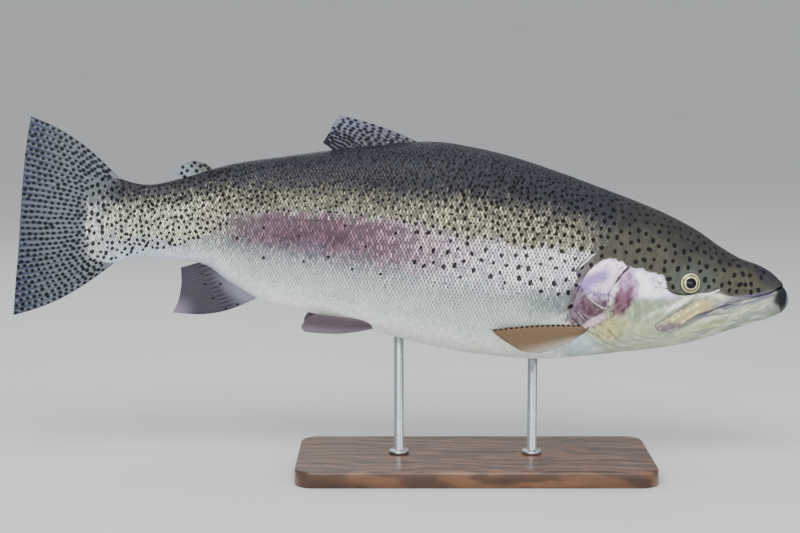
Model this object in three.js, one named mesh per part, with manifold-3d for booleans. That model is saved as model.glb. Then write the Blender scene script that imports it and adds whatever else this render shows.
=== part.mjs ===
// A life-size rainbow trout on a museum display stand. Millimetres, +Z up.
//
// The fish is described in its own straight frame. A place on it is [station, side, height]:
// station is the distance behind the tip of the upper lip, side is positive to the fish's left,
// and height is above the straight line from lip to tail. The finished fish is bent gently
// to the left at the tail, pitched nose down, and carried by two rods over a flat base.
// The origin is the centre of the base's underside, and +X points the way the fish swims.

import * as THREE from 'three';
import { ParametricGeometry } from 'three/addons/geometries/ParametricGeometry.js';
import { mergeVertices } from 'three/addons/utils/BufferGeometryUtils.js';
import Module from 'manifold-3d';

const wasm = await Module();
wasm.setup();

// ---- driving dimensions -------------------------------------------------------------------

const GAP = 0.3;                  // clearance between neighbouring pieces
const CHIN_STATION = -3.3;        // the hooked lower jaw reaches ahead of the upper lip
const BODY_END = 586;             // station where the flesh would end inside the tail fin
const TAIL_FIN_ROOT = 566;        // station where the tail fin takes over from the stalk
const NOSE_DOWN = 5.3;            // pitch of the fish, degrees
const BALANCE_STATION = 262;      // station that stands over the centre of the base
const AXIS_HEIGHT = 176;          // height of the fish's own axis over the floor there
const TAIL_SWEEP = 10;            // how far the tail tip is swung to the left
const SWEEP_START = 210;          // station where that bend begins
const SWEEP_LENGTH = 436;         // and the length over which it grows

// Sections of the flesh, one a line: station, height of the back, height of the belly,
// half of the width, and height of the widest line.
const SECTIONS = [
  [CHIN_STATION, -7, -7, 0, -7],
  [2, 4.4, -16.4, 6.3, -6],
  [12, 14.7, -22.3, 11.8, -5],
  [25, 21.2, -27.8, 15.4, -5],
  [42, 25.8, -34.8, 18.8, -5],
  [60, 34.2, -42.8, 22.2, -6],
  [80, 45.6, -50.4, 26, -8],
  [105, 56.2, -56.8, 30.5, -11],
  [135, 65.8, -62.6, 34.5, -12],
  [165, 74.2, -68.6, 37, -8],
  [200, 83.6, -74.6, 39, -2],
  [240, 92.8, -75.4, 40.5, 4],
  [275, 97.8, -73.8, 40.5, 8],
  [303, 99.4, -70.2, 39.5, 10],
  [334, 95.4, -65.2, 37, 10],
  [384, 85.6, -55.4, 32, 10],
  [434, 74.2, -47.8, 26, 10],
  [467, 66.4, -33.6, 21.5, 11],
  [487, 59.6, -21.8, 18, 12],
  [515, 48.6, -20.2, 13.5, 12],
  [541, 41.2, -20.8, 10.5, 10],
  [566, 44.6, -28.6, 7.2, 8],
  [BODY_END, 52, -36, 4, 8],
];

// How square each half of a section is: 2 is an ellipse, less is more pointed.
const CROWN_ROUNDNESS = [[CHIN_STATION, 2.1], [60, 2.3], [120, 2.25], [200, 2.05], [BODY_END, 2]];
const KEEL_ROUNDNESS = [[CHIN_STATION, 2], [60, 1.8], [120, 1.9], [200, 2.1], [BODY_END, 2]];

const BODY_SIDES = 26;            // facets round a section
const BODY_ROWS = 43;             // sections from chin to tail

const EYE_STATION = 86.2;
const EYE_HEIGHT = 4.2;
const EYE_RADIUS = 9.6;           // radius of the eyeball seen from the side
const EYE_DEPTH = 6.2;            // half of its thickness, side to side
const EYE_INSET = 3.1;            // centre of the ball below the cheek's surface
const EYE_TURN = 5;               // degrees that each eye looks up and forward
const EYE_FACETS = 18;            // facets round each eye

const COVER_THICKNESS = 5;        // gill cover, from its own face to its inner face
const COVER_RISE = 0.9;           // how far the gill cover stands proud of the flesh
const MAXILLA_THICKNESS = 3;
const MAXILLA_RISE = 0.7;

// Outlines in the side view, [station, height].
const COVER_OUTLINE = [
  [140, 12], [147, 17.5], [154, 19], [164, 14.5], [172.5, 6], [178, -8], [181.5, -20], [182.5, -29],
  [175, -36.5], [163, -43.5], [152, -47.5], [144, -47], [143, -40], [148, -31], [151, -20],
  [152.5, -10], [148, 0],
];
const MAXILLA_OUTLINE = [
  [52, -6.5], [60, -4.6], [71, -6.6], [80.5, -10.8], [90, -17.4], [100, -25], [107, -30.6],
  [110, -34], [106, -38], [98, -37.8], [91, -34.4], [86, -29], [78.5, -22.6], [70, -18.6], [60, -14],
];
const MOUTH_LINE = [[3.2, 6.6], [8, 4.8], [20, -0.2], [37, -6.4], [63, -17], [76, -23.5], [108, -35.5]];
const JAW_HINGE = [114, -40];
const JAW_HEEL = [88, -60];
const MOUTH_NOTCH = [[0.5, 9.5], [2.4, 5.2], [7.6, 4.4], [6.4, 7.6], [5.6, 9.6]];

// Ends of the trunk's lengths: [station at the level of the back, station at that of the belly].
const BACK_LEVEL = 80;
const BELLY_LEVEL = -70;
const NAPE = [150, 166];
const MIDRIFF = [296, 296];
const VENT = [474, 466];

const ROD_STATIONS = { front: 206, rear: 320 };
const ROD_RADIUS = 4;
const ROD_IN_FISH = 12;           // length of each rod inside the belly
const ROD_IN_BASE = 8;            // and inside the base
const ROD_COLLAR = { radius: 8.5, height: 3 };
const ROD_SIDES = 16;

const BASE_SIZE = { length: 300, width: 124, height: 14 };
const BASE_CORNER = 16;           // radius of the base's corners in plan
const BASE_BEVEL = 2.5;

// ---- frame of the fish --------------------------------------------------------------------

// The sideways bend: none as far as SWEEP_START, then growing to TAIL_SWEEP at the tail tip.
function bend(station) {
  const along = Math.max(0, station - SWEEP_START) / SWEEP_LENGTH;
  return TAIL_SWEEP * along * along;
}

function place([station, side, height]) {
  return new THREE.Vector3(BALANCE_STATION - station, side + bend(station), height);
}

// A smooth curve through [position, value] pairs, with each slope set by its neighbours.
function smooth(pairs) {
  const last = pairs.length - 1;
  const slope = pairs.map((pair, i) => {
    const before = pairs[Math.max(i - 1, 0)];
    const after = pairs[Math.min(i + 1, last)];
    return (after[1] - before[1]) / (after[0] - before[0]);
  });
  return (position) => {
    let i = 0;
    while (i < last - 1 && position > pairs[i + 1][0]) {
      i += 1;
    }
    const [x0, y0] = pairs[i];
    const [x1, y1] = pairs[i + 1];
    const span = x1 - x0;
    const t = THREE.MathUtils.clamp((position - x0) / span, 0, 1);
    const rise = y1 - y0;
    const start = slope[i] * span - rise;
    const end = rise - slope[i + 1] * span;
    return y0 + t * rise + t * (1 - t) * (start * (1 - t) + end * t);
  };
}

// Sections are joined over the square root of the distance from the chin, which keeps
// the chin and the lips round.
const reach = (station) => Math.sqrt(Math.max(0, station - CHIN_STATION));
const overReach = (pairs) => {
  const curve = smooth(pairs.map(([station, value]) => [reach(station), value]));
  return (station) => curve(reach(station));
};
const column = (index) => overReach(SECTIONS.map((section) => [section[0], section[index]]));

const backHeight = column(1);
const bellyHeight = column(2);
const halfWidth = column(3);
const widestHeight = column(4);
const crownRoundness = overReach(CROWN_ROUNDNESS);
const keelRoundness = overReach(KEEL_ROUNDNESS);

// Half of the flesh's width at one station and height.
function sideAt(station, height) {
  const middle = widestHeight(station);
  const above = height > middle;
  const extent = above ? backHeight(station) - middle : middle - bellyHeight(station);
  const power = above ? crownRoundness(station) : keelRoundness(station);
  const part = Math.min(1, Math.abs(height - middle) / extent);
  return halfWidth(station) * (1 - part ** power) ** (1 / power);
}

// ---- solids -------------------------------------------------------------------------------

// A closed three.js geometry as a manifold solid that faces outwards.
function solid(geometry) {
  const bare = new THREE.BufferGeometry();
  bare.setAttribute('position', geometry.getAttribute('position').clone());
  if (geometry.index) {
    bare.setIndex(geometry.index.clone());
  }
  const merged = mergeVertices(bare, 1e-4);
  const points = merged.getAttribute('position').array;
  const corners = merged.index.array;
  const kept = [];
  let volume = 0;
  const p = [0, 1, 2].map(() => new THREE.Vector3());
  for (let i = 0; i < corners.length; i += 3) {
    const [a, b, c] = corners.slice(i, i + 3);
    if (a === b || b === c || c === a) {
      continue;
    }
    kept.push(a, b, c);
    p.forEach((vector, k) => vector.fromArray(points, corners[i + k] * 3));
    volume += p[0].dot(p[1].clone().cross(p[2]));
  }
  if (volume < 0) {
    kept.reverse();
  }
  return new wasm.Manifold(new wasm.Mesh({
    numProp: 3,
    vertProperties: new Float32Array(points),
    triVerts: new Uint32Array(kept),
  }));
}

// The largest piece of a solid that a cut has divided.
function largest(cut) {
  return cut.decompose().reduce((best, piece) => (piece.volume() > best.volume() ? piece : best));
}

// The flesh from chin to tail, grown outwards all over by a distance that may be negative.
function flesh(grow = 0) {
  const end = reach(BODY_END);
  const least = 0.05;             // a shrunken section never closes on itself
  return solid(new ParametricGeometry((around, along, target) => {
    const station = CHIN_STATION + (along * end) ** 2;
    const angle = around * 2 * Math.PI;
    const tip = along === 0 || along === 1;
    const middle = widestHeight(station);
    const above = Math.sin(angle) > 0;
    const edge = above ? backHeight(station) + grow : bellyHeight(station) - grow;
    const power = above ? crownRoundness(station) : keelRoundness(station);
    const rise = Math.abs(Math.sin(angle)) ** (2 / power);
    const out = Math.sign(Math.cos(angle)) * Math.abs(Math.cos(angle)) ** (2 / power);
    const width = tip ? 0 : Math.max(least, halfWidth(station) + grow);
    const height = tip ? 0 : Math.max(least, Math.abs(edge - middle));
    target.copy(place([station, width * out, middle + (above ? height : -height) * rise]));
  }, BODY_SIDES, BODY_ROWS));
}

// An outline moved outwards by a distance, corner by corner.
function grownOutline(outline, distance) {
  const points = outline.map(([x, y]) => new THREE.Vector2(x, y));
  const turn = THREE.ShapeUtils.area(points) > 0 ? 1 : -1;
  return points.map((point, i) => {
    const before = points[(i + points.length - 1) % points.length];
    const after = points[(i + 1) % points.length];
    const entry = point.clone().sub(before).normalize();
    const exit = after.clone().sub(point).normalize();
    const normal = new THREE.Vector2(entry.y + exit.y, -entry.x - exit.x).normalize();
    const sharpest = 0.5;         // keeps the point of a sharp corner from running away
    const reached = turn * distance / Math.max(sharpest, normal.dot(new THREE.Vector2(entry.y, -entry.x)));
    return [point.x + reached * normal.x, point.y + reached * normal.y];
  });
}

// A side-view outline as a prism right through the fish.
function prism(outline, grow = 0) {
  const depth = 300;              // well over the fish's width
  const points = grownOutline(outline, grow);
  const shape = new THREE.Shape(points.map(([x, y]) => new THREE.Vector2(BALANCE_STATION - x, y)));
  const geometry = new THREE.ExtrudeGeometry(shape, { depth, bevelEnabled: false, steps: 1 });
  geometry.rotateX(Math.PI / 2);
  geometry.translate(0, depth / 2, 0);
  return solid(geometry);
}

// The space on one side of the fish, just clear of its middle.
function half(side) {
  const size = 400;
  const offMiddle = 1;
  const geometry = new THREE.BoxGeometry(3 * size, size, size);
  geometry.translate(0, side * (size / 2 + offMiddle), 0);
  return solid(geometry);
}

// The length of the fish between two cuts.
function length(front, rear) {
  const over = 130;
  const under = -110;
  const slope = (cut) => (cut[0] - cut[1]) / (BACK_LEVEL - BELLY_LEVEL);
  const at = (cut, height) => cut[1] + slope(cut) * (height - BELLY_LEVEL);
  return prism([
    [at(front, over) + GAP / 2, over], [at(rear, over) - GAP / 2, over],
    [at(rear, under) - GAP / 2, under], [at(front, under) + GAP / 2, under],
  ]);
}

// A plate set into the flesh, such as a gill cover: the piece itself on each side, the pocket
// that the flesh leaves for both, and the space that whatever lies over them keeps clear.
function plate(outline, thickness, rise) {
  const shell = flesh(rise).subtract(flesh(-thickness)).intersect(prism(outline));
  return {
    right: largest(shell.intersect(half(-1))),
    left: largest(shell.intersect(half(1))),
    pocket: prism(outline, GAP).subtract(flesh(-thickness - GAP)),
    clearance: prism(outline, GAP).intersect(flesh(rise + GAP)),
  };
}

// A fin: rays run from a root curve to a margin curve, and bow sideways on the way.
// Its thickness falls from the root to the rim, with blunt edges all round.
function blade({ root, margin, bow, thickness, face = [0, 1, 0], rays = 8, rows = 6 }) {
  const rootCurve = new THREE.CatmullRomCurve3(root.map(place));
  const marginCurve = new THREE.CatmullRomCurve3(margin.map(place));
  const normal = new THREE.Vector3(...face).normalize();
  const squareness = 8;           // of the rim's corners, as the power of a superellipse
  const slices = 2 * rays;
  const stacks = rows + 2;
  return solid(new ParametricGeometry((around, out, target) => {
    const across = around < 0.5 ? 2 * around : 2 - 2 * around;
    const ray = 0.5 - 0.5 * Math.cos(Math.PI * across);
    const row = Math.round(out * stacks);
    const step = THREE.MathUtils.clamp((row - 1) / rows, 0, 1);
    const onCap = row === 0 || row === stacks;
    const fade = THREE.MathUtils.smoothstep(step, 0, thickness.fade);
    const oval = thickness.root * Math.sqrt(Math.max(0, 1 - (2 * ray - 1) ** 2));
    const blunt = thickness.rim * (1 + thickness.taper * (1 - step)) * (1 - (2 * ray - 1) ** squareness);
    const offset = onCap ? 0 : 0.5 * THREE.MathUtils.lerp(oval, blunt, fade);
    target.copy(rootCurve.getPointAt(ray)).lerp(marginCurve.getPointAt(ray), step);
    const [along, up] = bow(ray);
    target.x -= along * Math.sin(Math.PI * step);
    target.z += up * Math.sin(Math.PI * step);
    target.addScaledVector(normal, around < 0.5 ? offset : -offset);
  }, slices, stacks));
}

// ---- colours ------------------------------------------------------------------------------

const COLOURS = {
  back: '#6b6f57', cheek: '#a5a092', jaw: '#c9c7a8', cover: '#c9a9b4', flank: '#a8a79a',
  tail: '#b9b58c', tailFin: '#7d858f', dorsal: '#4f5560', adipose: '#7b8488', anal: '#8d7186',
  pelvic: '#a98a93', pectoral: '#a5794f', eye: '#c9b45e', wood: '#4b3222', steel: '#b9bcc0',
};

function finish(colour, roughness, metalness = 0) {
  return new THREE.MeshStandardMaterial({ color: COLOURS[colour], roughness, metalness });
}

function piece(name, body, material) {
  const { vertProperties, triVerts } = body.getMesh();
  const geometry = new THREE.BufferGeometry();
  geometry.setAttribute('position', new THREE.BufferAttribute(new Float32Array(vertProperties), 3));
  geometry.setIndex(new THREE.BufferAttribute(new Uint32Array(triVerts), 1));
  geometry.computeVertexNormals();
  const mesh = new THREE.Mesh(geometry, material);
  mesh.name = name;
  return mesh;
}

// ---- eyes ---------------------------------------------------------------------------------

function eyeball(side, grow = 0) {
  const geometry = new THREE.SphereGeometry(1, EYE_FACETS, EYE_FACETS / 2);
  geometry.rotateX(Math.PI / 2);
  geometry.scale(EYE_RADIUS + grow, EYE_DEPTH + grow, EYE_RADIUS + grow);
  const turn = THREE.MathUtils.degToRad(EYE_TURN);
  geometry.rotateX(side * turn);
  geometry.rotateZ(-side * turn);
  const centre = place([EYE_STATION, side * (sideAt(EYE_STATION, EYE_HEIGHT) - EYE_INSET), EYE_HEIGHT]);
  geometry.translate(centre.x, centre.y, centre.z);
  return solid(geometry);
}

// ---- stand --------------------------------------------------------------------------------

// The fish's frame is turned about its balance point and lifted.
const fish = new THREE.Group();
fish.rotation.y = THREE.MathUtils.degToRad(NOSE_DOWN);
fish.position.z = AXIS_HEIGHT;
fish.updateMatrixWorld();

// Where a rod meets the belly: the floor position and height of that place on the fish.
function bellyPoint(station) {
  return place([station, 0, bellyHeight(station)]).applyMatrix4(fish.matrixWorld);
}

// A round rod with a collar that rests on the base, grown by a clearance to cut its sockets.
function rod(station, grow = 0) {
  const { x, y, z } = bellyPoint(station);
  const top = z + ROD_IN_FISH + grow;
  const foot = BASE_SIZE.height - ROD_IN_BASE - grow;
  const seat = BASE_SIZE.height + GAP - 2 * grow;
  const radius = ROD_RADIUS + grow;
  const collar = ROD_COLLAR.radius + grow;
  const profile = [
    [0, foot], [radius, foot], [radius, seat], [collar, seat], [collar, seat + ROD_COLLAR.height],
    [radius, seat + ROD_COLLAR.height], [radius, top], [0, top],
  ].map(([r, height]) => new THREE.Vector2(r, height));
  const geometry = new THREE.LatheGeometry(profile, ROD_SIDES);
  geometry.rotateX(Math.PI / 2);
  geometry.translate(x, y, 0);
  return geometry;
}

// The socket for a rod, in the fish's own frame.
function rodSocket(station) {
  return solid(rod(station, GAP).applyMatrix4(fish.matrixWorld.clone().invert()));
}

function baseBoard() {
  const x = BASE_SIZE.length / 2 - BASE_BEVEL;
  const y = BASE_SIZE.width / 2 - BASE_BEVEL;
  const r = BASE_CORNER - BASE_BEVEL;
  const shape = new THREE.Shape();
  shape.absarc(x - r, y - r, r, 0, Math.PI / 2);
  shape.absarc(r - x, y - r, r, Math.PI / 2, Math.PI);
  shape.absarc(r - x, r - y, r, Math.PI, 1.5 * Math.PI);
  shape.absarc(x - r, r - y, r, 1.5 * Math.PI, 2 * Math.PI);
  const geometry = new THREE.ExtrudeGeometry(shape, {
    depth: BASE_SIZE.height - 2 * BASE_BEVEL,
    bevelThickness: BASE_BEVEL,
    bevelSize: BASE_BEVEL,
    bevelSegments: 2,
    curveSegments: 4,
  });
  geometry.translate(0, 0, BASE_BEVEL);
  return Object.values(ROD_STATIONS).reduce((board, station) => board.subtract(solid(rod(station, GAP))),
    solid(geometry));
}

// ---- the body and what is set into it -----------------------------------------------------

const body = flesh();
const clearance = flesh(GAP);
const covers = plate(COVER_OUTLINE, COVER_THICKNESS, COVER_RISE);
const maxillae = plate(MAXILLA_OUTLINE, MAXILLA_THICKNESS, MAXILLA_RISE);
const jawRegion = [[-30, 20], ...MOUTH_LINE, JAW_HINGE, JAW_HEEL, [70, -90], [-30, -90]];

const AHEAD = [-60, -60];
const BEHIND_FLESH = [TAIL_FIN_ROOT, TAIL_FIN_ROOT];
const uncovered = body.subtract(covers.pocket);

const head = uncovered.intersect(length(AHEAD, NAPE))
  .subtract(prism(jawRegion, GAP))
  .subtract(prism(MOUTH_NOTCH))
  .subtract(maxillae.pocket)
  .subtract(eyeball(-1, GAP))
  .subtract(eyeball(1, GAP));
const lowerJaw = body.intersect(prism(jawRegion)).subtract(maxillae.pocket);
const trunkFront = uncovered.intersect(length(NAPE, MIDRIFF)).subtract(rodSocket(ROD_STATIONS.front));
const trunkRear = body.intersect(length(MIDRIFF, VENT)).subtract(rodSocket(ROD_STATIONS.rear));
const tailStalk = body.intersect(length(VENT, BEHIND_FLESH));

// ---- fins ---------------------------------------------------------------------------------

const ROOT_DEPTH = 4;             // fins are drawn this far into the flesh, then trimmed to it

const tailFin = blade({
  root: [[TAIL_FIN_ROOT + GAP, 0, 44.8], [TAIL_FIN_ROOT + GAP, 0, 8], [TAIL_FIN_ROOT + GAP, 0, -28.8]],
  margin: [[642.5, 0, 88.6], [645, 0, 60], [646, 0, 20], [646, 0, -20], [646.8, 0, -55], [647, 0, -80.8]],
  bow: (ray) => [0, 7 * (1 - 2 * ray)],
  thickness: { root: 13.6, rim: 1.1, taper: 1.4, fade: 0.4 },
  rays: 14,
  rows: 9,
});

const dorsalFin = blade({
  root: [[312, 0, 98.4 - ROOT_DEPTH], [348, 0, 92 - ROOT_DEPTH], [385, 0, 85.4 - ROOT_DEPTH]],
  margin: [[385.5, 0, 113.4], [390, 0, 107], [394, 0, 98], [398, 0, 89.6]],
  bow: (ray) => [0, 3 * (1 - ray)],
  thickness: { root: 5, rim: 1.1, taper: 1.6, fade: 0.8 },
}).subtract(clearance);

const adiposeFin = blade({
  root: [[485, 0, 60.5 - ROOT_DEPTH], [508, 0, 51.4 - ROOT_DEPTH]],
  margin: [[496, 0, 63.6], [505, 0, 64.2], [513, 0, 60], [519.5, 0, 52.4]],
  bow: () => [0, 1.2],
  thickness: { root: 5, rim: 1.8, taper: 0.8, fade: 0.9 },
  rays: 7,
  rows: 4,
}).subtract(clearance);

const analFin = blade({
  root: [[437, 0, -46.8 + ROOT_DEPTH], [462, 0, -36 + ROOT_DEPTH], [486, 0, -21.6 + ROOT_DEPTH]],
  margin: [[512, 0, -65], [508, 0, -54], [506.5, 0, -40], [508, 0, -26]],
  bow: (ray) => [0, -7.5 * (1 - ray)],
  thickness: { root: 5.5, rim: 1.1, taper: 1.6, fade: 0.8 },
}).subtract(clearance);

const pectoralFin = (side) => blade({
  root: [[164, side * 32, -37], [167, side * 30.5, -41], [169.5, side * 28, -45.5]],
  margin: [
    [246.5, side * 39, -46.8], [238, side * 35, -54], [228, side * 31.5, -60],
    [218, side * 28.5, -64.6], [204, side * 26, -65.4],
  ],
  bow: (ray) => [0, 2 * (1 - ray) - 2.5 * ray],
  thickness: { root: 4.5, rim: 1.1, taper: 1.6, fade: 0.8 },
  face: [0, side * 0.8, -0.6],
}).subtract(clearance).subtract(covers.clearance);

const pelvicFin = (side) => blade({
  root: [[338, side * 9, -59.5], [342, side * 13, -56.5], [347, side * 16.5, -53]],
  margin: [
    [399, side * 15.5, -67.6], [402, side * 18, -63.6], [399, side * 20, -57], [391, side * 20.5, -50.6],
  ],
  bow: (ray) => [0, -3.4 * (1 - ray)],
  thickness: { root: 4.5, rim: 1.1, taper: 1.6, fade: 0.8 },
  face: [0, side, -0.35],
}).subtract(clearance);

// ---- assembly -----------------------------------------------------------------------------

fish.add(
  piece('head', largest(head), finish('back', 0.45)),
  piece('lower_jaw', largest(lowerJaw), finish('jaw', 0.45)),
  piece('trunk_front', largest(trunkFront), finish('flank', 0.4)),
  piece('trunk_rear', largest(trunkRear), finish('flank', 0.4)),
  piece('tail_stalk', largest(tailStalk), finish('tail', 0.4)),
  piece('fin_caudal', tailFin, finish('tailFin', 0.5)),
  piece('fin_dorsal', largest(dorsalFin), finish('dorsal', 0.5)),
  piece('fin_adipose', largest(adiposeFin), finish('adipose', 0.5)),
  piece('fin_anal', largest(analFin), finish('anal', 0.5)),
);

for (const [name, side] of [['left', 1], ['right', -1]]) {
  fish.add(
    piece(`eye_${name}`, eyeball(side), finish('eye', 0.1)),
    piece(`gill_cover_${name}`, covers[name], finish('cover', 0.3)),
    piece(`maxilla_${name}`, maxillae[name], finish('cheek', 0.35)),
    piece(`fin_pectoral_${name}`, largest(pectoralFin(side)), finish('pectoral', 0.5)),
    piece(`fin_pelvic_${name}`, largest(pelvicFin(side)), finish('pelvic', 0.5)),
  );
}

const model = new THREE.Group();
model.add(fish, piece('stand_base', baseBoard(), finish('wood', 0.4)));
for (const [name, station] of Object.entries(ROD_STATIONS)) {
  model.add(piece(`stand_rod_${name}`, solid(rod(station)), finish('steel', 0.3, 1)));
}

export default model;
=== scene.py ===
import math

import bpy
import numpy as np
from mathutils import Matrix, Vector


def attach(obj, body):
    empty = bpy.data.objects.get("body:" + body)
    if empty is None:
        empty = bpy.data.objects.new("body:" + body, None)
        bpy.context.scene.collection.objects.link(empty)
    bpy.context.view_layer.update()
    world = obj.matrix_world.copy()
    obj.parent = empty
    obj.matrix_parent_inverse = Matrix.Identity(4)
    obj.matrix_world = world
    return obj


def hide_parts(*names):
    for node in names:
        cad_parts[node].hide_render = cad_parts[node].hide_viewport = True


# A life-size rainbow trout on a display stand: one skin over the head and body, its scales,
# fins and eyes, and the stand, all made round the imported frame.
#
# The fish is described in its own straight frame, in millimetres. A place on it is
# [station, side, height]: station is the distance behind the upper lip, side is positive to
# the fish's left, and height is above the line from lip to tail. place() bends, pitches and
# lifts such points into the shared frame, in metres.

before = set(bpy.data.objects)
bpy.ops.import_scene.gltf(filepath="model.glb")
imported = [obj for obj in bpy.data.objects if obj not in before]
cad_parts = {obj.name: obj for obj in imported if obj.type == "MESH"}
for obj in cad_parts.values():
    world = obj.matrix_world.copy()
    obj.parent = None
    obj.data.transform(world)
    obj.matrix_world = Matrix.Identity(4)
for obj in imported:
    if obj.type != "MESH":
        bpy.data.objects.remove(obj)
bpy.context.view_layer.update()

MM = 0.001
CHIN = -3.3                        # the lower jaw's tip reaches ahead of the upper lip
SKIN_END = 597.0                   # the flesh runs out inside the tail fin's base
TAIL_FIN_ROOT = 566.0
BALANCE = 262.0
AXIS_HEIGHT = 176.0
NOSE_DOWN = math.radians(5.3)
TAIL_SWEEP = 10.0
SWEEP_START = 210.0
SWEEP_LENGTH = 436.0

# Sections of the flesh: station, height of back, height of belly, half width, widest height.
SECTIONS = np.array([
    [CHIN, -7, -7, 0, -7],
    [2, 4.4, -16.4, 6.3, -6],
    [12, 14.7, -22.3, 11.8, -5],
    [25, 21.2, -27.8, 15.4, -5],
    [42, 25.8, -34.8, 18.8, -5],
    [60, 34.2, -42.8, 22.2, -6],
    [80, 45.6, -50.4, 26, -8],
    [105, 56.2, -56.8, 30.5, -11],
    [135, 65.8, -62.6, 34.5, -12],
    [165, 74.2, -68.6, 37, -8],
    [200, 83.6, -74.6, 39, -2],
    [240, 92.8, -75.4, 40.5, 4],
    [275, 97.8, -73.8, 40.5, 8],
    [303, 99.4, -70.2, 39.5, 10],
    [334, 95.4, -65.2, 37, 10],
    [384, 85.6, -55.4, 32, 10],
    [434, 74.2, -47.8, 26, 10],
    [467, 66.4, -33.6, 21.5, 11],
    [487, 59.6, -21.8, 18, 12],
    [515, 48.6, -20.2, 13.5, 12],
    [541, 41.2, -20.8, 10.5, 10],
    [566, 44.6, -28.6, 7.2, 8],
    [586, 52, -36, 4, 8],
])
CROWN_ROUNDNESS = np.array([[CHIN, 2.1], [60, 2.3], [120, 2.25], [200, 2.05], [586, 2]])
KEEL_ROUNDNESS = np.array([[CHIN, 2], [60, 1.8], [120, 1.9], [200, 2.1], [586, 2]])

COAT_DEPTH = 0.55                  # the scales' outer faces lie this far over the skin

EYE_STATION = 86.2
EYE_HEIGHT = 4.2
EYE_RADIUS = 9.6
EYE_DEPTH = 6.2
EYE_INSET = 3.1
EYE_TURN = math.radians(5)
EYE_OPENING = 8.3                  # radius of the ring of skin round the eye


# ---- small tools ---------------------------------------------------------------------------

def smoothstep(low, high, value):
    t = np.clip((np.asarray(value, float) - low) / (high - low), 0, 1)
    return t * t * (3 - 2 * t)


def bell(value, width):
    return np.exp(-(np.asarray(value, float) / width) ** 2)


def colour(text):
    """A colour written as hex sRGB, as linear red, green and blue."""
    value = np.array([int(text[i:i + 2], 16) for i in (0, 2, 4)]) / 255
    return np.where(value <= 0.04045, value / 12.92, ((value + 0.055) / 1.055) ** 2.4)


def tint(text):
    """A colour as seen on the living fish, as the paint that shows so under the studio lights."""
    seen = colour(text)
    grey = seen.mean()
    vivid = np.clip(grey + 1.08 * (seen - grey), 0, 1)
    return np.minimum(vivid * (0.29 + 0.86 * vivid), 0.96)


def ripple(points, size, seed):
    """A smooth random field, about -1 to 1, with features of a size in mm."""
    random = np.random.default_rng(seed)
    total = 0
    for _ in range(12):
        wave = random.normal(size=3)
        wave *= 2 * math.pi / (size * random.uniform(0.7, 1.5) * np.linalg.norm(wave))
        total = total + np.sin(points @ wave + random.uniform(0, 2 * math.pi))
    return total / 4


def curve_through(places, values):
    """A smooth curve whose slope at each value is set by its neighbours."""
    x, y = np.asarray(places, float), np.asarray(values, float)
    last = len(x) - 1
    before = np.maximum(np.arange(last + 1) - 1, 0)
    after = np.minimum(np.arange(last + 1) + 1, last)
    slope = (y[after] - y[before]) / (x[after] - x[before])

    def curve(position):
        position = np.asarray(position, float)
        i = np.clip(np.searchsorted(x, position) - 1, 0, last - 1)
        span = x[i + 1] - x[i]
        t = np.clip((position - x[i]) / span, 0, 1)
        rise = y[i + 1] - y[i]
        start = slope[i] * span - rise
        end = rise - slope[i + 1] * span
        return y[i] + t * rise + t * (1 - t) * (start * (1 - t) + end * t)
    return curve


def reach(station):
    return np.sqrt(np.maximum(0, np.asarray(station, float) - CHIN))


def over_reach(stations, values):
    curve = curve_through(reach(stations), values)
    return lambda station: curve(reach(station))


def steps(station, pairs):
    """Straight-line interpolation over [station, value] pairs."""
    pairs = np.array(pairs, float)
    return np.interp(station, pairs[:, 0], pairs[:, 1])


def bend(station):
    along = np.maximum(0, station - SWEEP_START) / SWEEP_LENGTH
    return TAIL_SWEEP * along * along


def place(points):
    """Points of the fish's frame in mm, as points of the shared frame in metres."""
    points = np.asarray(points, float)
    x = BALANCE - points[..., 0]
    y = points[..., 1] + bend(points[..., 0])
    h = points[..., 2]
    c, s = math.cos(NOSE_DOWN), math.sin(NOSE_DOWN)
    return np.stack([x * c + h * s, y, h * c - x * s + AXIS_HEIGHT], -1) * MM


# ---- the flank, as tables ------------------------------------------------------------------
# A place on either side of the flesh is [station, share], where share runs from 0 on the back's
# midline to 1 on the belly's, in equal lengths of girth.

back_height, belly_height, cad_half_width, widest_height = (
    over_reach(SECTIONS[:, 0], SECTIONS[:, k]) for k in (1, 2, 3, 4))
crown_roundness = over_reach(*CROWN_ROUNDNESS.T)
keel_roundness = over_reach(*KEEL_ROUNDNESS.T)


def half_width(station):
    """Half the flesh's width. Past the tail fin's root it thins out to nothing."""
    left = np.clip((SKIN_END - station) / (SKIN_END - TAIL_FIN_ROOT), 0, 1)
    return np.where(station < TAIL_FIN_ROOT, cad_half_width(station),
                    cad_half_width(TAIL_FIN_ROOT) * left ** 1.15)


SHARES = np.linspace(0, 1, 257)
ROW_REACH = np.linspace(0, float(reach(SKIN_END)), 1400)
ROW_STEP = ROW_REACH[1]


def flank_tables():
    station = (CHIN + ROW_REACH ** 2)[:, None]
    angle = np.linspace(math.pi / 2, -math.pi / 2, 601)
    above = np.sin(angle) >= 0
    middle = widest_height(station)
    extent = np.where(above, back_height(station) - middle, belly_height(station) - middle)
    power = np.where(above, crown_roundness(station), keel_roundness(station))
    y = half_width(station) * np.abs(np.cos(angle)) ** (2 / power)
    h = middle + extent * np.abs(np.sin(angle)) ** (2 / power)
    step = np.hypot(np.diff(y, axis=1), np.diff(h, axis=1))
    arc = np.concatenate([np.zeros_like(station), np.cumsum(step, axis=1)], axis=1)
    girth = np.maximum(arc[:, -1], 1e-3)
    side = np.array([np.interp(SHARES * g, a, row) for g, a, row in zip(girth, arc, y)])
    height = np.array([np.interp(SHARES * g, a, row) for g, a, row in zip(girth, arc, h)])
    return station[:, 0], side, height, girth


ROW_STATION, SIDE, HEIGHT, GIRTH = flank_tables()


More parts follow.
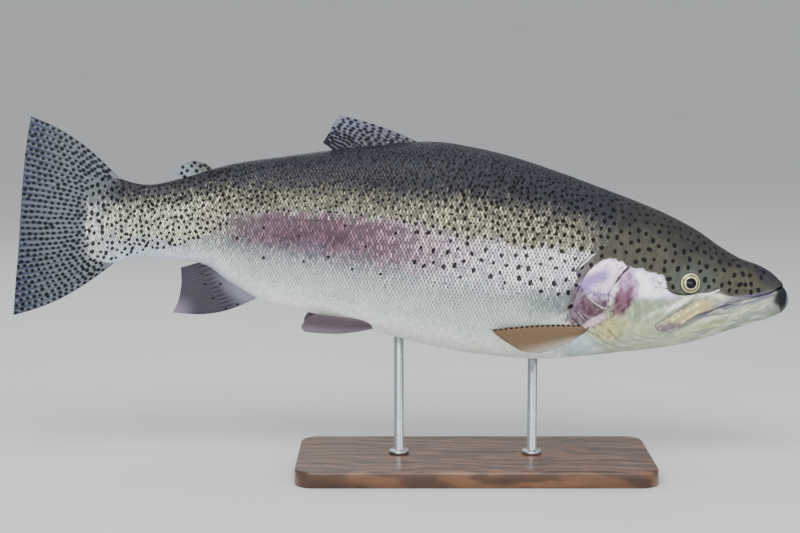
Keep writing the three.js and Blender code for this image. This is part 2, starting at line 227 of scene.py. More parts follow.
def normal_table():
    points = np.stack([np.broadcast_to(ROW_STATION[:, None], SIDE.shape), SIDE, HEIGHT], -1)
    along = np.gradient(points, axis=0)
    around = np.gradient(points, axis=1)
    normal = np.cross(around, along)
    normal[0] = [-1, 0, 0]
    outward = np.stack([np.zeros_like(SIDE), SIDE, HEIGHT - widest_height(ROW_STATION)[:, None]], -1)
    normal *= np.sign((normal * outward).sum(-1, keepdims=True) + 1e-9)
    normal[0] = [-1, 0, 0]
    return normal / np.maximum(np.linalg.norm(normal, axis=-1, keepdims=True), 1e-9)


NORMAL = normal_table()


def look_up(table, station, share):
    row = np.clip(reach(station) / ROW_STEP, 0, len(ROW_REACH) - 1.001)
    column = np.clip(share, 0, 1) * (len(SHARES) - 1) * 0.999999
    i, j = row.astype(int), column.astype(int)
    a, b = row - i, column - j
    if table.ndim == 3:
        a, b = a[..., None], b[..., None]
    return ((1 - a) * ((1 - b) * table[i, j] + b * table[i, j + 1])
            + a * ((1 - b) * table[i + 1, j] + b * table[i + 1, j + 1]))


def girth_at(station):
    return np.interp(reach(station), ROW_REACH, GIRTH)


def share_at(station, height):
    """The share of the girth where the flank has a height."""
    station, height = np.broadcast_arrays(np.asarray(station, float), np.asarray(height, float))
    low, high = np.zeros(station.shape), np.ones(station.shape)
    for _ in range(16):
        middle = (low + high) / 2
        above = look_up(HEIGHT, station, middle) > height
        low, high = np.where(above, middle, low), np.where(above, high, middle)
    return (low + high) / 2


def flank(station, share):
    """Points on the fish's left flank."""
    station, share = np.broadcast_arrays(np.asarray(station, float), np.asarray(share, float))
    return np.stack([station, look_up(SIDE, station, share), look_up(HEIGHT, station, share)], -1)


# ---- lines and outlines on the flank -------------------------------------------------------

def spline(points, closed=False, spacing=0.4):
    """A smooth line through points, as close samples."""
    points = np.asarray(points, float)
    if closed:
        points = np.vstack([points[-1:], points, points[:2]])
    else:
        points = np.vstack([2 * points[0] - points[1], points, 2 * points[-1] - points[-2]])
    samples = []
    for a, b, c, d in zip(points[:-3], points[1:-2], points[2:-1], points[3:]):
        count = max(2, int(np.linalg.norm(c - b) / spacing))
        t = np.arange(count)[:, None] / count
        samples.append(0.5 * (2 * b + (c - a) * t + (2 * a - 5 * b + 4 * c - d) * t ** 2
                              + (3 * b - a - 3 * c + d) * t ** 3))
    if not closed:
        samples.append(points[-2:-1])
    return np.vstack(samples)


class Mark:
    """A line or closed outline drawn on the flank by side-view points [station, height]."""

    REACH = 16.0

    def __init__(self, points, closed=False):
        self.flat = spline(points, closed)
        station, height = self.flat.T
        self.line = flank(station, share_at(station, height))
        self.closed = closed

    def measure(self, points):
        """Distance of each point from the line, and how far along the line it is, 0 to 1."""
        distance = np.full(len(points), self.REACH)
        along = np.zeros(len(points))
        low, high = self.line.min(0) - self.REACH, self.line.max(0) + self.REACH
        near = np.flatnonzero(np.all((points > low) & (points < high), axis=1))
        for part in np.array_split(near, max(1, len(near) * len(self.line) // 4_000_000)):
            gap = ((points[part] ** 2).sum(1)[:, None] + (self.line ** 2).sum(1)[None]
                   - 2 * points[part] @ self.line.T)
            best = gap.argmin(1)
            found = np.sqrt(np.maximum(gap[np.arange(len(part)), best], 0))
            distance[part] = np.minimum(found, self.REACH)
            along[part] = best / (len(self.line) - 1)
        return distance, along

    def inside(self, points):
        """Distance from the closed outline, positive inside."""
        distance, _ = self.measure(points)
        x, y = points[:, 0], points[:, 2]
        low, high = self.flat.min(0), self.flat.max(0)
        within = np.zeros(len(points), bool)
        near = np.flatnonzero((x > low[0]) & (x < high[0]) & (y > low[1]) & (y < high[1]))
        odd = np.zeros(len(near), bool)
        for (ax, ay), (bx, by) in zip(self.flat, np.roll(self.flat, -1, axis=0)):
            crosses = (ay > y[near]) != (by > y[near])
            odd ^= crosses & (x[near] < ax + (y[near] - ay) * (bx - ax) / (by - ay + 1e-12))
        within[near] = odd
        return np.where(within, distance, -distance)


MOUTH = Mark([[3.0, 6.3], [6, 5.2], [10, 3.6], [16, 0.6], [26, -2.6], [37, -6.4], [52, -12],
              [64, -17.4], [74, -21.8], [82, -27.5], [87.5, -33], [94, -37.4], [101, -39.4]])
MAXILLA = Mark([[52, -6.5], [60, -4.6], [71, -6.6], [80.5, -10.8], [90, -17.4], [100, -25],
                [107, -30.6], [110, -34], [106, -38], [98, -37.8], [91, -34.4], [86, -29],
                [78.5, -22.6], [70, -18.6], [60, -14]], closed=True)
MAXILLA_SEAM = Mark([[109, -30.4], [98.5, -30.6], [89.4, -28.6], [84.4, -26]])
EYE_FOLD = Mark([[108, -0.4], [105.1, -1.4], [102.2, -3.5], [96.8, -5.2], [91.6, -5.6],
                 [85.2, -5.0], [78.8, -4.0]])
CHEEK_GLINT = Mark([[84, -5.6], [78.8, -4.4], [70.9, -3.6], [65.7, -2.2], [60.7, 0.4]])
PREOPERCLE = Mark([[139, 13.7], [143.7, 8.2], [147.7, 1.5], [150.7, -3.3], [152.8, -8.1],
                   [153, -12.8], [152.3, -16.9], [151, -22], [149.1, -28], [147.4, -33],
                   [143.3, -37.5]])
SUBOPERCLE = Mark([[177.6, -4.5], [173.3, -9.2], [169.3, -13.6], [164.2, -17.3], [160.5, -19.4],
                   [156.7, -21.1], [154.4, -21.5], [151.6, -19.6]])
COVER = Mark([[140, 12], [147, 17.5], [154, 19], [164, 14.5], [172.5, 6], [178, -8],
              [181.5, -20], [182.5, -29], [175, -36.5], [163, -43.5], [152, -47.5], [144, -47],
              [143, -40], [148, -31], [151, -20], [152.5, -10], [148, 0]], closed=True)
GILL_RIDGES = [
    Mark([[179.9, -24.3], [175.7, -27.2], [171.7, -31.1], [167.7, -35.1], [163.6, -38.6]]),
    Mark([[174.8, -25.4], [169.7, -29.1], [164.7, -31.4], [159.7, -33.8], [155.1, -35.4]]),
    Mark([[165.6, -33.1], [161.6, -37.1], [156.5, -40.4], [151.2, -43.6], [146, -45.6]]),
]
THROAT_FOLDS = [
    Mark([[154.2, -35.2], [149.3, -41], [143.7, -46.6], [137, -51.5], [128, -55]]),
    Mark([[163, -44], [155, -49.5], [146, -54.5], [136, -58.4]]),
    Mark([[132, -41], [122, -44.5], [110, -46.6], [99, -46.4]]),
]
JAW_CREASE = Mark([[84, -33], [76, -25.4], [65.5, -22.6], [55, -20.6], [45.9, -19.1],
                   [39.4, -17.6], [31, -14.6]])
SHOULDER_GLINT = Mark([[180.4, 8.7], [177.8, 12.3], [174.1, 16.1], [170.5, 20.3], [166.1, 23.5]])
NOSTRILS = [([38.5, 6.0], 2.0), ([37.6, 0.8], 0.75)]

# Where the dark skin of the head gives way to the pale cheek and jaw, as [station, height].
PALE_EDGE = [[-3.3, -30], [6, -12], [10, 2.6], [20, -0.6], [30, -3.4], [40, -4.6], [52, -4.2],
             [60, -2.6], [66, -3], [72, -4], [80, -4.6], [86, -5.4], [92, -6], [98, -5.2],
             [103, -3.2], [105.5, -0.8], [107, 4], [109, 8.8], [114, 9.8], [119, 10.6],
             [124, 11], [127.5, 13.4], [136, 13], [140, 14], [144, 17], [150, 18.6], [155, 19],
             [160, 17.8], [167, 12.6], [172, 7], [176, 2], [179, -4], [182, -14], [184, -40]]

# Front edge of the scaled skin, as [height, station].
SCALE_FRONT = [[-90, 172], [-70, 172], [-60, 174], [-48, 176], [-38, 180], [-30, 184.5],
               [-20, 183.5], [-8, 181], [2, 179], [9, 181], [14, 177], [20, 171], [25, 164],
               [32, 156], [42, 151], [60, 149], [90, 148]]


def scaled(station, height):
    """1 where the skin carries scales, 0 on the naked head, with a short run between."""
    edge = steps(height, SCALE_FRONT)
    return smoothstep(-1.0, 5.0, station - edge)


# ---- relief of the head --------------------------------------------------------------------

def relief(points):
    """How far the skin stands out from the plain flesh at points of the left side, in mm."""
    s, h = points[:, 0], points[:, 2]
    out = np.zeros(len(points))

    gap, along = MOUTH.measure(points)
    line_height = np.interp(s, MOUTH.flat[:, 0], MOUTH.flat[:, 1])
    above = (h > line_height) & (s > 2.2)
    depth = np.interp(along, [0, 0.06, 0.14, 0.8, 1], [3.2, 2.4, 1.25, 1.0, 0.2])
    lips = np.interp(along, [0, 0.1, 0.6, 0.85, 1], [1.1, 0.8, 0.45, 0.2, 0])
    out -= depth * bell(gap, 0.85)
    out += lips * np.where(above, bell(gap - 2.2, 2.6), -0.5 * bell(gap, 3.5))

    plate = MAXILLA.inside(points)
    free = smoothstep(52, 68, s)
    out += free * (1.0 * smoothstep(-0.3, 0.6, plate) + 0.6 * smoothstep(0, 5, plate))
    out -= free * 1.0 * bell(plate + 0.7, 0.7) * smoothstep(-2, -14, h)
    gap, _ = MAXILLA_SEAM.measure(points)
    out -= 0.3 * bell(gap, 0.5)

    radius = np.hypot(s - EYE_STATION, h - EYE_HEIGHT)
    out -= 5.0 * smoothstep(EYE_OPENING + 0.15, EYE_OPENING - 0.9, radius)
    out += 0.5 * bell(radius - EYE_OPENING - 1.0, 0.8)
    out -= 0.35 * bell(radius - EYE_OPENING - 3.4, 1.5)
    out += 0.8 * bell(np.hypot((s - 84) / 1.7, h - 19.5), 5)

    gap, _ = EYE_FOLD.measure(points)
    fold_height = np.interp(-s, -EYE_FOLD.flat[:, 0], EYE_FOLD.flat[:, 1])
    out += 0.45 * np.where(h > fold_height, bell(gap, 4), -bell(gap, 1.0))

    for centre, size in NOSTRILS:
        away = np.hypot(s - centre[0], h - centre[1])
        out -= 0.8 * smoothstep(size + 0.4, 0.3 * size, away)

    gap, along = PREOPERCLE.measure(points)
    edge_station = np.interp(-h, -PREOPERCLE.flat[:, 1], PREOPERCLE.flat[:, 0])
    ahead = edge_station - s
    ends = smoothstep(0, 0.08, along) * smoothstep(1, 0.85, along)
    out += ends * np.where(ahead > 0, 0.9 * bell(gap - 0.8, 5), -0.8 * bell(gap, 1.0))

    gap, along = SUBOPERCLE.measure(points)
    lower = np.interp(-s, -SUBOPERCLE.flat[:, 0], SUBOPERCLE.flat[:, 1]) > h
    out += np.where(lower, -0.6 * bell(gap, 1.0), 0.6 * bell(gap - 0.3, 2.4))

    cover = COVER.inside(points)
    rear = smoothstep(150, 166, s)
    out += 0.85 * rear * smoothstep(-0.35, 0.5, cover)
    out -= 0.9 * rear * bell(cover + 0.9, 0.8)
    for ridge in GILL_RIDGES:
        gap, along = ridge.measure(points)
        out += 0.7 * bell(gap, 0.8) * (1 - along ** 3)
        out -= 0.6 * bell(gap - 1.9, 1.0)
    for fold in THROAT_FOLDS:
        gap, along = fold.measure(points)
        out -= 0.8 * bell(gap, 1.0) * np.sin(math.pi * np.clip(along, 0.08, 0.92))
        out += 0.45 * bell(gap - 2.4, 1.8) * np.sin(math.pi * along)
    gap, along = JAW_CREASE.measure(points)
    out -= 0.75 * bell(gap, 1.0) * np.sin(math.pi * np.clip(along, 0.1, 0.9))
    gap, _ = SHOULDER_GLINT.measure(points)
    out += 0.5 * bell(gap, 1.3)

    # Cheek muscle, the hollow ahead of the eye, and the swell of the gill cover.
    out += 0.9 * bell(np.hypot((s - 122) / 1.2, h + 8), 13)
    out -= 0.8 * bell(np.hypot((s - 66) / 1.5, h - 4), 7)
    out += 0.7 * bell(np.hypot(s - 164, (h + 6) / 1.2), 12)
    # Branchiostegal folds fan out under the throat.
    share = share_at(s, h)
    fan = smoothstep(0.80, 0.86, share) * smoothstep(0.995, 0.95, share)
    run = smoothstep(98, 112, s) * smoothstep(166, 156, s)
    spread = (share - 0.80) / (0.06 + 0.0016 * np.maximum(s - 98, 0))
    out += 0.45 * fan * run * np.sin(2 * math.pi * 1.9 * spread)
    # The soft fold between the jaw bones.
    between = 0.86 + 0.05 * smoothstep(20, 90, s)
    out -= 0.6 * bell((share - between) * girth_at(s), 1.5) * smoothstep(14, 30, s) * smoothstep(112, 92, s)
    return np.minimum(out, 3.0 * smoothstep(-2, 16, s) - 0.4)


# ---- markings ------------------------------------------------------------------------------
# Levels down the flank, as [station, height]: where one paint gives way to the next.

DARK_EDGE = [[100, 46], [150, 46], [175, 50], [209, 57], [240, 60], [273, 62], [305, 59], [338, 58],
             [370, 60], [403, 56], [436, 55], [468, 51], [502, 42], [536, 34],
             [566, 29], [582, 30], [597, 32]]
OLIVE_LOW = [[100, 26], [150, 26], [180, 23.4], [223, 22.3], [245, 24.6], [276, 26.5], [307, 32],
             [329, 36], [370, 37], [410, 35], [440, 31], [465, 26], [493, 14], [527, 2], [561, -4], [597, -8]]
SILVER = [[100, -2], [150, 0], [200, -2], [280, -8], [330, -5], [400, 2], [460, 0], [500, -2],
          [534, -9], [560, -14], [597, -20]]
BELLY_EDGE = [[100, -50], [150, -57], [194, -62], [236, -65], [278, -62], [320, -56],
              [362, -50.5], [405, -46], [448, -40], [480, -24], [515, -16], [560, -22], [597, -32]]
SLATE_PAINT = "484850"               # the back
OLIVE_PAINT = "787870"               # the upper side
SILVER_PAINT = "9098a0"              # the flank
WHITE_PAINT = "f0f4f0"               # the belly
STALK_PAINT = "a8b0b0"               # a pale wash towards the tail
ROSE_TOP = [[150, 25], [197, 26], [246, 28.7], [287, 31.4], [329, 36], [370, 36], [410, 34],
            [460, 29], [493, 24]]
ROSE_MIDDLE = [[150, 10], [245, 14.2], [286, 17.7], [327, 20.5], [368, 18.2], [409, 16.2], [467, 10.6]]
ROSE_LOW = [[150, 8], [245, 5], [285, 0], [325, -1], [375, 0.5], [408, 3], [458, 2.4], [492, 2.6]]
ROSE_STRENGTH = [[150, 0.0], [200, 0.06], [250, 0.22], [290, 0.55], [330, 0.88], [380, 1],
                 [430, 0.95], [460, 0.78], [485, 0.3], [505, 0]]
PEARL_STRENGTH = [[150, 0.5], [180, 1], [240, 1], [280, 0.75], [320, 0.4], [365, 0.12], [400, 0]]


class Paint:
    """Colour laid on points in soft-edged coats."""

    def __init__(self, ground):
        self.colour = ground

    def lay(self, text, amount):
        amount = np.clip(amount, 0, 1)[:, None]
        self.colour = self.colour * (1 - amount) + tint(text) * amount


def spot_of(s, h, centre, sizes, lean=0.0):
    """A soft oval, 1 in the middle and 0 outside, in the side view."""
    x, y = s - centre[0], h - centre[1]
    c, n = math.cos(lean), math.sin(lean)
    along, across = (x * c + y * n) / sizes[0], (y * c - x * n) / sizes[1]
    return smoothstep(1.25, 0.6, np.hypot(along, across))


def body_levels(s):
    dark = steps(s, DARK_EDGE)
    return np.stack([back_height(s), dark + 10, dark - 12, steps(s, OLIVE_LOW), steps(s, SILVER),
                     steps(s, BELLY_EDGE), belly_height(s)], -1)


def body_ground(s, h):
    """Slate back, olive upper side, silver flank and white belly, each fading into the next."""
    levels = body_levels(s)
    dark, olive, silver, belly = levels[:, 1], levels[:, 3], levels[:, 4], levels[:, 5]
    paint = Paint(np.tile(tint(SLATE_PAINT), (len(s), 1)))
    paint.lay(OLIVE_PAINT, smoothstep(dark, olive, h))
    paint.lay(SILVER_PAINT, smoothstep(olive, silver, h))
    paint.lay(WHITE_PAINT, smoothstep(silver, belly, h))
    paint.lay(STALK_PAINT, 0.8 * smoothstep(470, 580, s) * smoothstep(dark - 8, olive, h))
    return paint.colour


def rose_amount(s, h):
    top, low = steps(s, ROSE_TOP), steps(s, ROSE_LOW)
    return (steps(s, ROSE_STRENGTH) * smoothstep(top + 6, top - 9, h)
            * smoothstep(low - 18, low + 9, h))


def pearl_amount(s, h):
    top = steps(s, OLIVE_LOW)
    return steps(s, PEARL_STRENGTH) * smoothstep(top + 3, top - 6, h) * smoothstep(-22, -4, h)


def behind_cover(s, h):
    """1 on the smooth grey flank behind the gill cover, fading out round it."""
    return np.clip(1.25 - np.hypot((s - 202) / 30, (h + 22) / 17), 0, 1)


def pale_amount(s, h, wobble=0.0, soft=0.6):
    """1 on the pale cheek and jaw, 0 on the dark skin over them."""
    return smoothstep(-soft, soft, steps(s, PALE_EDGE) + wobble - h)


PATCHES = {name: Mark(outline, closed=True) for name, outline in {
    "pink_cheek": [[146, 9], [139, 12.5], [134, 8], [131.5, 0], [132.5, -9], [138, -9], [146, -5], [149, 2]],
    "front_maroon": [[147, -7], [140, -5], [134, -1], [132, -8], [133, -16], [136, -23], [141, -27],
                     [147, -26], [150, -17]],
    "rear_maroon": [[176, -16], [166, -13], [154, -14], [152, -21], [156, -28], [166, -30], [175, -27]],
    "mauve": [[181, -5], [175, -6], [170, -14], [166, -24], [157, -27], [155, -31], [164, -37],
              [186, -38], [189, -24], [185, -12]],
    "deep_violet": [[171, -7], [162, -7], [151, -8], [150.5, -13], [158, -15], [168, -14], [173, -11]],
    "bright_cheek": [[133, 9.5], [122, 9.5], [112, 8], [103, 5], [98, 1], [104, -5], [115, -10], [126, -9],
                     [128.5, -2]],
    "green_cheek": [[133, -16], [122, -11], [106, -10], [100, -16], [112, -27], [126, -31], [134, -28]],
}.items()}
VIOLET_BAND = Mark([[177, -6], [172.5, -1.5], [166, 2.5], [158, 6], [149, 8.5]])


def patch(name, points, soft=1.6):
    return smoothstep(-soft, soft, PATCHES[name].inside(points))


def stained(name, points, stain):
    """A patch with a mottled edge."""
    return smoothstep(-4.4, 4.0, PATCHES[name].inside(points) + stain)


def head_pigment(paint, points, head):
    """Lays the markings of the naked head. points are on the left side."""
    s, h = points[:, 0], points[:, 2]
    coarse = ripple(points, 13, 4)
    fine = ripple(points, 5, 15)
    streak = ripple(np.stack([0.3 * (s - 0.24 * h), 0 * s, h + 0.24 * s + 1.4 * fine], -1), 3.0, 8)
    fleck = ripple(points, 2.6, 19)
    top = smoothstep(steps(s, PALE_EDGE), back_height(s), h + 3 * coarse)
    paint.lay("6b6a61", head)
    paint.lay("4a4a49", head * smoothstep(0.25, 0.95, top))
    paint.lay("737a73", head * 0.75 * spot_of(s, h, [84, 6], [26, 13]))
    paint.lay("6f6b60", head * 0.6 * spot_of(s, h, [44, 8], [20, 12]))
    paint.lay("44434e", head * 0.8 * spot_of(s, h, [17, 13], [15, 8], 0.5))
    paint.lay("5c5a50", head * 0.5 * smoothstep(0, 1, fine))
    paint.lay("47474a", head * 0.9 * smoothstep(112, 152, s) * smoothstep(38, 56, h + 3 * coarse))

    wobble = (0.5 * fine + 0.15 * fleck) * smoothstep(100, 112, s)
    pale = pale_amount(s, h, wobble) * head
    paint.lay("b5bab0", pale)
    paint.lay("a3aaa0", pale * 0.5 * smoothstep(0.1, 0.9, fine) * smoothstep(-8, -16, h))
    paint.lay("c2c8b6", pale * smoothstep(-12, -22, h) * smoothstep(90, 110, s))
    paint.lay("c6cbbc", pale * smoothstep(-36, -52, h))
    paint.lay("c9c69c", pale * 0.75 * spot_of(s, h, [148, -38], [17, 11], -0.3))
    paint.lay("a39f86", pale * 0.5 * smoothstep(0.1, 0.8, fine) * spot_of(s, h, [148, -42], [22, 13], -0.4))
    cheek = pale * smoothstep(-15, -6, h + 2 * fine) * smoothstep(92, 104, s)
    paint.lay("d9d3e6", cheek)
    paint.lay("ffffff", pale * patch("bright_cheek", points, 3))
    paint.lay("8f86a0", cheek * 0.8 * smoothstep(0.0, 0.6, fleck + 0.8 * fine - 0.2)
              * spot_of(s, h, [107, 3], [11, 7]))
    paint.lay("9c90c8", cheek * 0.8 * smoothstep(0.0, 0.5, streak) * spot_of(s, h, [110, 3], [11, 6], 0.1))
    paint.lay("a3ae9c", pale * 0.85 * patch("green_cheek", points, 4) * smoothstep(-1.0, 0.4, fine))
    paint.lay("f2f2ec", pale * 0.95 * spot_of(s, h, [92, -12.2], [15, 2.4], -0.62))
    paint.lay("d8ded0", pale * 0.6 * spot_of(s, h, [112, -22], [14, 2.5], -0.5))
    paint.lay("c9cbb2", pale * 0.8 * spot_of(s, h, [128, -38], [14, 6]))

    # The gill cover: white over violet over maroon, mauve behind.
    cover = pale * smoothstep(140, 146, s + 0.4 * h)
    stain = 1.0 * fine + 0.8 * fleck
    paint.lay("f4ecfa", cover * smoothstep(-24, -12, h))
    paint.lay("d7a3cc", cover * 0.7 * smoothstep(-0.2, 0.6, fine + 0.5 * fleck) * smoothstep(9, 15, h))
    gap, along = VIOLET_BAND.measure(points)
    band = smoothstep(8.5, 1.5, gap + 0.8 * stain) * smoothstep(1.0, 0.7, along)
    paint.lay("9c86c0", cover * 0.85 * band)
    paint.lay("ae96cb", cover * (0.3 + 0.55 * smoothstep(0.0, 0.6, streak))
              * spot_of(s, h, [164, -4], [12, 9]))
    paint.lay("7c6aa0", cover * 0.85 * stained("deep_violet", points, stain)
              * (0.5 + 0.5 * smoothstep(-0.4, 0.5, streak)))
    paint.lay("958594", pale * 0.95 * stained("mauve", points, stain))
    paint.lay("75646f", pale * 0.7 * stained("mauve", points, stain)
              * smoothstep(-0.1, 0.7, fine - 0.4 * fleck))
    paint.lay("7d6272", pale * 0.9 * stained("rear_maroon", points, stain))
    paint.lay("58434f", pale * 0.6 * spot_of(s, h, [160, -21], [9, 7]) * smoothstep(-0.7, 0.5, fine))
    paint.lay("ae93a4", pale * 0.5 * stained("rear_maroon", points, stain) * smoothstep(0.3, 0.8, fleck))
    paint.lay("c6abc6", pale * 0.9 * stained("pink_cheek", points, stain))
    paint.lay("8b6d98", pale * 0.45 * stained("pink_cheek", points, stain)
              * smoothstep(0.0, 0.6, fine - 0.5 * fleck))
    maroon = stained("front_maroon", points, stain)
    paint.lay("8d6a7a", pale * 0.92 * maroon)
    paint.lay("9c7a90", pale * 0.7 * maroon * smoothstep(-0.1, 0.6, fleck) * smoothstep(-17, -6, h))
    paint.lay("5f4350", pale * 0.7 * maroon * smoothstep(-0.1, 0.7, fine) * smoothstep(-6, -14, h))
    paint.lay("e8d0dc", pale * 0.75 * spot_of(s, h, [162, -33], [10, 3.6], -0.6))

    # Lips, jaw and the upper jaw's plate.
    gap, along = MOUTH.measure(points)
    line = np.interp(s, MOUTH.flat[:, 0], MOUTH.flat[:, 1])
    lip = head * smoothstep(-5.2, -3.4, h - line) * smoothstep(7, 3.6, gap) * smoothstep(86, 72, s)
    lip *= smoothstep(3.2, 1.2, h - steps(s, PALE_EDGE)) * smoothstep(9, 16, s)
    paint.lay("8b8698", 0.85 * lip)
    paint.lay("5f586e", 0.7 * lip * bell(gap, 1.2))
    jaw_line = steps(s, [[14, -9], [37, -14], [60, -22.5], [74, -27], [90, -38]])
    paint.lay("dcdccb", head * 0.7 * bell(h - jaw_line + 1.5, 2.3) * smoothstep(18, 34, s)
              * smoothstep(98, 86, s))
    paint.lay("cdd0a6", head * 0.7 * bell(h - jaw_line + 7, 3) * smoothstep(44, 56, s)
              * smoothstep(100, 84, s))
    grain = ripple(np.stack([0.15 * (s - 0.4 * h), 0 * s, h + 0.4 * s + 1.5 * coarse], -1), 4.0, 10)
    jaw = pale * smoothstep(104, 88, s) * smoothstep(-2, -8, h)
    paint.lay("d8dccf", jaw * 0.5 * smoothstep(0.0, 0.8, grain))
    paint.lay("9aa199", jaw * 0.4 * smoothstep(0.0, -0.8, grain))
    paint.lay("8e958f", pale * smoothstep(20, 8, s) * smoothstep(-8, -16, h) * 0.6)
    plate = MAXILLA.inside(points)
    on_plate = smoothstep(-0.1, 0.4, plate) * smoothstep(60, 71, s + 0.8 * fine)
    rim = head * bell(h - steps(s, PALE_EDGE) + 2.2, 2.2) * smoothstep(52, 60, s) * smoothstep(82, 72, s)
    paint.lay("dcdcd2", 0.9 * rim)
    paint.lay("c4bc9f", on_plate)
    paint.lay("857c68", on_plate * 0.8 * smoothstep(-0.5, 0.6, fleck + 0.6 * fine)
              * smoothstep(2.2, 0.2, plate))
    paint.lay("f4ecc8", on_plate * 0.8 * bell(plate - 2.8, 1.2) * smoothstep(70, 80, s)
              * smoothstep(-0.8, 0.2, fine))
    paint.lay("9d9596", on_plate * smoothstep(-27.6, -31.2, h + 0.6 * fine))
    paint.lay("cfc4cb", on_plate * 0.8 * smoothstep(-29, -31, h) * bell(plate - 1.8, 1.1)
              * smoothstep(-0.9, 0.3, fine))
    tip = head * spot_of(s, h, [3.2, -3], [11, 8.5], -0.35)
    under = smoothstep(0.6, -0.4, h - np.where(s < 3, 99, line))
    paint.lay("2c333c", 0.95 * tip * np.where(s < 3, 1, under))
    paint.lay("a3a8ac", 0.85 * head * smoothstep(0.9, -1.7, s))
    shoulder = head * (1 - pale) * smoothstep(160, 172, s) * smoothstep(28, 16, h)
    paint.lay("8f898b", 0.8 * shoulder * smoothstep(-0.6, 0.6, fine + 0.5))


def pigment(points):
    """The skin's colour at points of either side."""
    points = points * np.array([1, np.sign(points[:, 1].mean() + 1e-9), 1])
    s, h = points[:, 0], points[:, 2]
    uneven = h + 2.6 * ripple(points, 17, 1) + 1.4 * ripple(points, 6, 2)
    paint = Paint(body_ground(s, uneven))
    paint.lay("9a8da6", 0.75 * pearl_amount(s, uneven))
    paint.lay("6e5966", 0.85 * rose_amount(s, h + 1.2 * ripple(points, 17, 1)))
    paint.lay("838d8a", 0.75 * behind_cover(s, h))
    paint.lay("c9c9c2", 0.8 * smoothstep(576, 590, s) * bell(h - 4, 15))
    paint.lay("8b9194", 0.85 * smoothstep(560, 584, s) * smoothstep(10, 24, h))
    middle = steps(s, ROSE_MIDDLE) - 2
    paint.lay("5f4d5a", 0.6 * bell(h - middle, 3) * smoothstep(340, 410, s) * smoothstep(500, 460, s))
    # A painted highlight along the belly's edge towards the tail.
    painted_belly_rim_highlight = bell(h - belly_height(s) - 3, 6) * smoothstep(430, 470, s) * smoothstep(585, 560, s)
    paint.lay("cfd9e4", 0.85 * painted_belly_rim_highlight)
    behind_gills = spot_of(s, h, [176, -56], [26, 13], 0.25)
    head = 1 - scaled(s, h)
    naked = np.flatnonzero(head > 0.001)
    if len(naked):
        part = Paint(paint.colour[naked])
        left_side = points[naked].copy()
        left_side[:, 1] = np.abs(left_side[:, 1])
        head_pigment(part, left_side, head[naked])
        paint.colour[naked] = part.colour
    paint.lay("d3dee0", 0.9 * behind_gills)
    return paint.colour


def sheen(points):
    """How silvery the skin is, 0 to 1."""
    s, h = points[:, 0], points[:, 2]
    low = smoothstep(steps(s, DARK_EDGE) - 6, steps(s, OLIVE_LOW) - 8, h)
    head = 1 - scaled(s, h)
    cheek = 0.6 * pale_amount(s, h, soft=3) * smoothstep(60, 120, s)
    return np.where(head > 0.5, cheek, 0.8 * low)


# ---- dark spots and lines ------------------------------------------------------------------
# Spots of the head and body are scattered at random, each a least gap from the others.

EYE_CLEAR = 13.0                     # no spots nearer to the eye's centre than this


def spot_spacing(s, h):
    """Least gap between spots at a place, in mm, or 0 where there are none, and their radius."""
    levels = body_levels(s)
    back, olive = levels[:, 0], levels[:, 3]
    up = np.clip((h - olive) / np.maximum(back - olive, 1), 0, 1)
    gap = np.interp(up, [0, 0.35, 0.6, 1], [5.3, 4.5, 3.8, 3.1])
    size = np.interp(up, [0, 0.4, 0.7, 1], [1.7, 1.65, 1.45, 1.15])
    front = smoothstep(240, 150, s)
    gap += front * 1.9
    size += front * 0.35
    stalk = smoothstep(400, 490, s)
    end = smoothstep(555, 590, s)
    fine = 1 - 0.26 * smoothstep(290, 370, s)
    gap, size = gap * fine, size * fine
    gap = gap * (1 - stalk) + (3.95 - 0.3 * up + 1.0 * end) * stalk
    size = size * (1 - stalk) + (1.55 + 0.35 * end) * stalk
    over = h > olive - 1
    sparse = (h < olive) & (h > -16 + 0.12 * (s - 180)) & (s < 315)
    gap = np.where(sparse, 8.6, gap)
    size = np.where(sparse, 1.95, size)
    stalk_low = np.interp(s, [470, 500, 530, 560, 597], [14, -2, -12, -22, -34])
    rear = (s > 470) & (h > stalk_low)
    few = ~(over | sparse | rear) & (h > -12) & (s < 470)
    gap = np.where(few, 22.0, gap)
    head = s < steps(h, SCALE_FRONT)
    crown = (h - 10) / np.maximum(back - 10, 1)
    gap = np.where(head, np.where(crown > 0.7, 5.6, 6.6), gap)
    size = np.where(head, np.where(crown > 0.7, 1.45, 1.95), size)
    dark_skin = (h > steps(s, PALE_EDGE) + 4) & (s > 22)
    dark_skin &= np.hypot(s - EYE_STATION, h - EYE_HEIGHT) > EYE_CLEAR
    shown = np.where(head, dark_skin, over | sparse | rear | few) & (s < 588)
    return np.where(shown, gap, 0), size


def scatter_spots():
    """Spots on both sides, as rows of [station, side, height, radius], and each one's long axis."""
    random = np.random.default_rng(7)
    station = random.uniform(8, 592, 110000)
    share = random.uniform(0, 1, len(station))
    kept = random.uniform(0, 1, len(station)) < girth_at(station) / GIRTH.max()
    points = flank(station[kept], share[kept])
    gap, size = spot_spacing(points[:, 0], points[:, 2])
    points, gap, size = points[gap > 0], gap[gap > 0], size[gap > 0]
    points[:, 1] *= random.choice([-1, 1], len(points))
    size = size * random.uniform(0.82, 1.18, len(size))
    gap = (gap * random.uniform(0.9, 1.08, len(gap))) ** 2
    spots = np.zeros((20000, 4))
    spots[0] = [*points[0], size[0]]
    count = 1
    for point, need, radius in zip(points, gap, size):
        if ((spots[:count, :3] - point) ** 2).sum(1).min() > need:
            spots[count] = [*point, radius]
            count += 1
    axes = random.normal(size=(count, 3)) * [0.5, 0.5, 1]
    return spots[:count], axes / np.linalg.norm(axes, axis=1, keepdims=True)


SPOTS, SPOT_AXES = scatter_spots()


